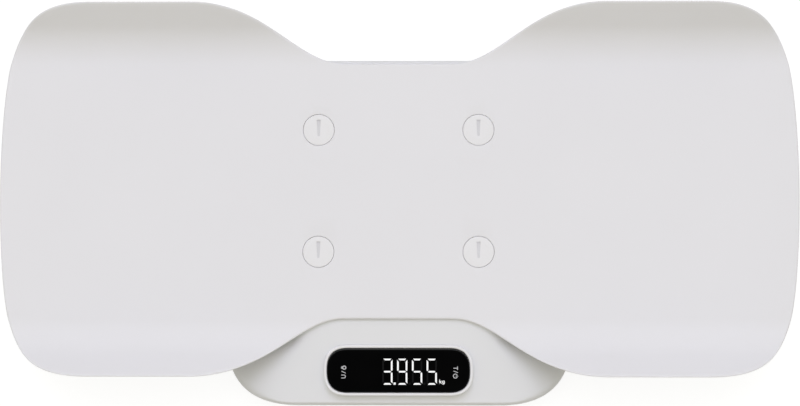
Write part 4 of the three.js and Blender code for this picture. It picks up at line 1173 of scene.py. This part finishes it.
def make_screw(name, x, y):
    """A pan-head screw, head down, with a tapered cross recess and a ridged shank."""
    low, neck, end = head_low.z, head_low.z + head_height, head_high.z
    radius, shank = screw_head / 2, screw_hole / 2 - gap
    profile = [(0, low), (radius * 0.5, low + 0.03)]
    profile += [(radius - run * head_round, low + 0.08 + (head_round - up) * head_round)
                for run, up in reversed(list(rounding(head_round, 5)))]
    z = neck + thread_start
    profile += [(radius, neck - 0.15), (radius - 0.15, neck), (shank, neck), (shank, z)]
    while z + thread_pitch < end - shank:
        profile += [(shank - thread_depth, z + 0.25 * thread_pitch),
                    (shank - thread_depth, z + 0.6 * thread_pitch),
                    (shank, z + 0.85 * thread_pitch), (shank, z + thread_pitch)]
        z += thread_pitch
    profile += [(0.25, end - 0.1), (0, end)]
    piece = add_mesh(name, *turned(profile, x, y, 48))
    recess = [cross(cross_reach * long, cross_half * wide, x, y, low + up)
              for long, wide, up in ((1.08, 1.15, -0.5), (1, 1, 0), (0.55, 0.7, cross_depth))]
    return cut(piece, loft(recess, capped=True))


for name, (x, y) in screws.items():
    screw = make_screw(f"screw_{name}", x, y)
    dress(screw, steel, [f"case_screw_{name}"], sharp=30)


# Batteries
battery_radius = (battery_high.x - battery_low.x) / 2
battery_length = battery_high.y - battery_low.y
nub_radius = 2.6
nub_length = 1.2
jacket_round = 0.7
band_share = 0.74


def battery_profile():
    body = battery_length - nub_length
    rim = battery_radius - 0.95
    return [(0, 0.0), (rim - 0.5, 0.0), (rim - 0.25, 0.25), (rim, 0.25), (rim + 0.05, 0.02),
            *lower_round(battery_radius, 0, jacket_round, 5),
            *[(battery_radius, body * share) for share in (0.2, 0.4, 0.6, band_share)],
            *upper_round(battery_radius, body, jacket_round, 5),
            (rim, body - 0.02), (rim - 0.1, body - 0.3), (nub_radius + 0.3, body - 0.3),
            (nub_radius, body), (nub_radius, battery_length - 0.35),
            (nub_radius - 0.35, battery_length), (0, battery_length)]


for number in range(1, 5):
    low, high = spot(f"battery_{number}")
    x, z = (low.x + high.x) / 2, (low.z + high.z) / 2
    start, sign = (low.y, 1) if number % 2 else (high.y, -1)
    verts, faces = turned(battery_profile(), 0, 0, 72)
    verts = [(x + px, start + sign * pz, z - sign * py) for px, py, pz in verts]
    cell = add_mesh(f"battery_cell_{number}", verts, faces)
    dress(cell, battery_wrap, [f"battery_{number}"])
    finish_faces(cell, battery_band, lambda px, py, pz, up: (
        abs(py - start) > band_share * battery_length - 0.9))
    finish_faces(cell, nickel, lambda px, py, pz, up: (
        hypot(px - x, pz - z) < battery_radius - 0.9))


# CAD nodes carried over: how their names start, their finish and the width of their rounded edges
carried_over = {
    "battery_door": (housing_plastic, 0.3),
    "led_digit_module": (black_plastic, 0.3),
    "touch_spring": (nickel, 0),
    "circuit_board": (board_lacquer, 0.1),
    "controller_chip": (black_plastic, 0.12),
    "weighing_converter_chip": (black_plastic, 0.1),
    "load_cell_connector": (connector_plastic, 0.25),
    "battery_connector": (connector_plastic, 0.25),
    "board_screw": (steel, 0.2),
    "battery_contact": (nickel, 0.06),
    "battery_wire_red": (red_wire, 0),
    "battery_wire_black": (black_wire, 0),
    "load_cell_wire": (grey_wire, 0),
}
for name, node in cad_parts.items():
    start = next((start for start in carried_over if name.startswith(start)), None)
    if start is None:
        continue
    paint, edge = carried_over[start]
    node.data.materials.clear()
    node.data.materials.append(paint)
    if edge or "wire" in name:
        weld = node.modifiers.new("weld", "WELD")
        weld.merge_threshold = 1e-5
    if edge:
        soften(node, edge)
    elif "wire" in name:
        smooth = node.modifiers.new("round", "SUBSURF")
        smooth.levels = smooth.render_levels = 2

# Floor, light and camera, the camera's lengths in metres
floor_grey = 0.24
floor_glow = 0.85
sky_seen = 1.05
light_tilt = radians(28)
light_narrowness = 20.0
softbox_light = 3.2
softbox_colour = (1.0, 1.049, 1.377)
room_light = 0.712
room_colour = (1.0, 0.974, 0.829)
camera_target = Vector((0.00105, 0.0018, 0.039))
camera_elevation = radians(86.3)
camera_distance = 1.44
camera_aside = 0.024
camera_lens = 94.3


def calculate(tree, operation, first, second):
    return add_node(tree, "ShaderNodeMath", {0: first, 1: second}, operation=operation).outputs[0]


def seen_directly(tree):
    """1 for a ray from the camera, or one that left a mirror or glass, and 0 for bounced light."""
    path = tree.nodes.new("ShaderNodeLightPath").outputs
    seen = calculate(tree, "ADD", path["Is Camera Ray"], path["Is Glossy Ray"])
    return calculate(tree, "ADD", seen, path["Is Transmission Ray"])


def make_floor():
    """A wide pale floor that keeps the soft shadow and shows as plain white."""
    bpy.ops.mesh.primitive_plane_add(size=12, location=(0, 0, -0.0001))
    floor = bpy.context.object
    floor.name = "floor"
    made = bpy.data.materials.new("floor_white")
    made.use_nodes = True
    tree = made.node_tree
    tree.nodes.clear()
    paint = add_node(tree, "ShaderNodeBsdfDiffuse", {"Color": (*[floor_grey] * 3, 1)})
    strength = calculate(tree, "MULTIPLY", seen_directly(tree), floor_glow)
    glow = add_node(tree, "ShaderNodeEmission", {"Color": (1, 1, 1, 1), "Strength": strength})
    both = add_node(tree, "ShaderNodeAddShader", {0: paint.outputs[0], 1: glow.outputs[0]})
    add_node(tree, "ShaderNodeOutputMaterial", {"Surface": both.outputs[0]})
    floor.data.materials.append(made)


def background(tree, colour, strength):
    inputs = {"Color": (*colour, 1), "Strength": strength}
    return add_node(tree, "ShaderNodeBackground", inputs).outputs[0]


def make_light():
    """A broad soft sky, warm all round, and cooler and brighter above the rear of the scale."""
    world = bpy.data.worlds.new("studio")
    scene.world = world
    world.use_nodes = True
    tree = world.node_tree
    tree.nodes.clear()
    place = tree.nodes.new("ShaderNodeTexCoord").outputs["Generated"]
    brightest = (0, sin(light_tilt), cos(light_tilt))
    facing = add_node(tree, "ShaderNodeVectorMath", {0: place, 1: brightest},
                      operation="DOT_PRODUCT").outputs["Value"]
    lobe = calculate(tree, "POWER", calculate(tree, "MAXIMUM", facing, 0), light_narrowness)
    softbox = background(tree, softbox_colour, calculate(tree, "MULTIPLY", lobe, softbox_light))
    room = background(tree, room_colour, room_light)
    light = add_node(tree, "ShaderNodeAddShader", {0: softbox, 1: room}).outputs[0]
    sky = background(tree, (1, 1, 1), sky_seen)
    either = add_node(tree, "ShaderNodeMixShader", {"Fac": seen_directly(tree), 1: light, 2: sky})
    add_node(tree, "ShaderNodeOutputWorld", {"Surface": either.outputs[0]})


def make_camera():
    data = bpy.data.cameras.new("camera")
    data.lens = camera_lens
    camera = bpy.data.objects.new("camera", data)
    scene.collection.objects.link(camera)
    back = Vector((0, -cos(camera_elevation), sin(camera_elevation)))
    camera.location = camera_target + back * camera_distance + Vector((camera_aside, 0, 0))
    forward = (camera_target - camera.location).normalized()
    across = (Vector((1, 0, 0)) - forward * forward.x).normalized()
    upward = across.cross(forward)
    camera.rotation_mode = "QUATERNION"
    camera.rotation_quaternion = Matrix((across, upward, -forward)).transposed().to_quaternion()
    scene.camera = camera


make_floor()
make_light()
make_camera()
scene.view_settings.view_transform = "Standard"
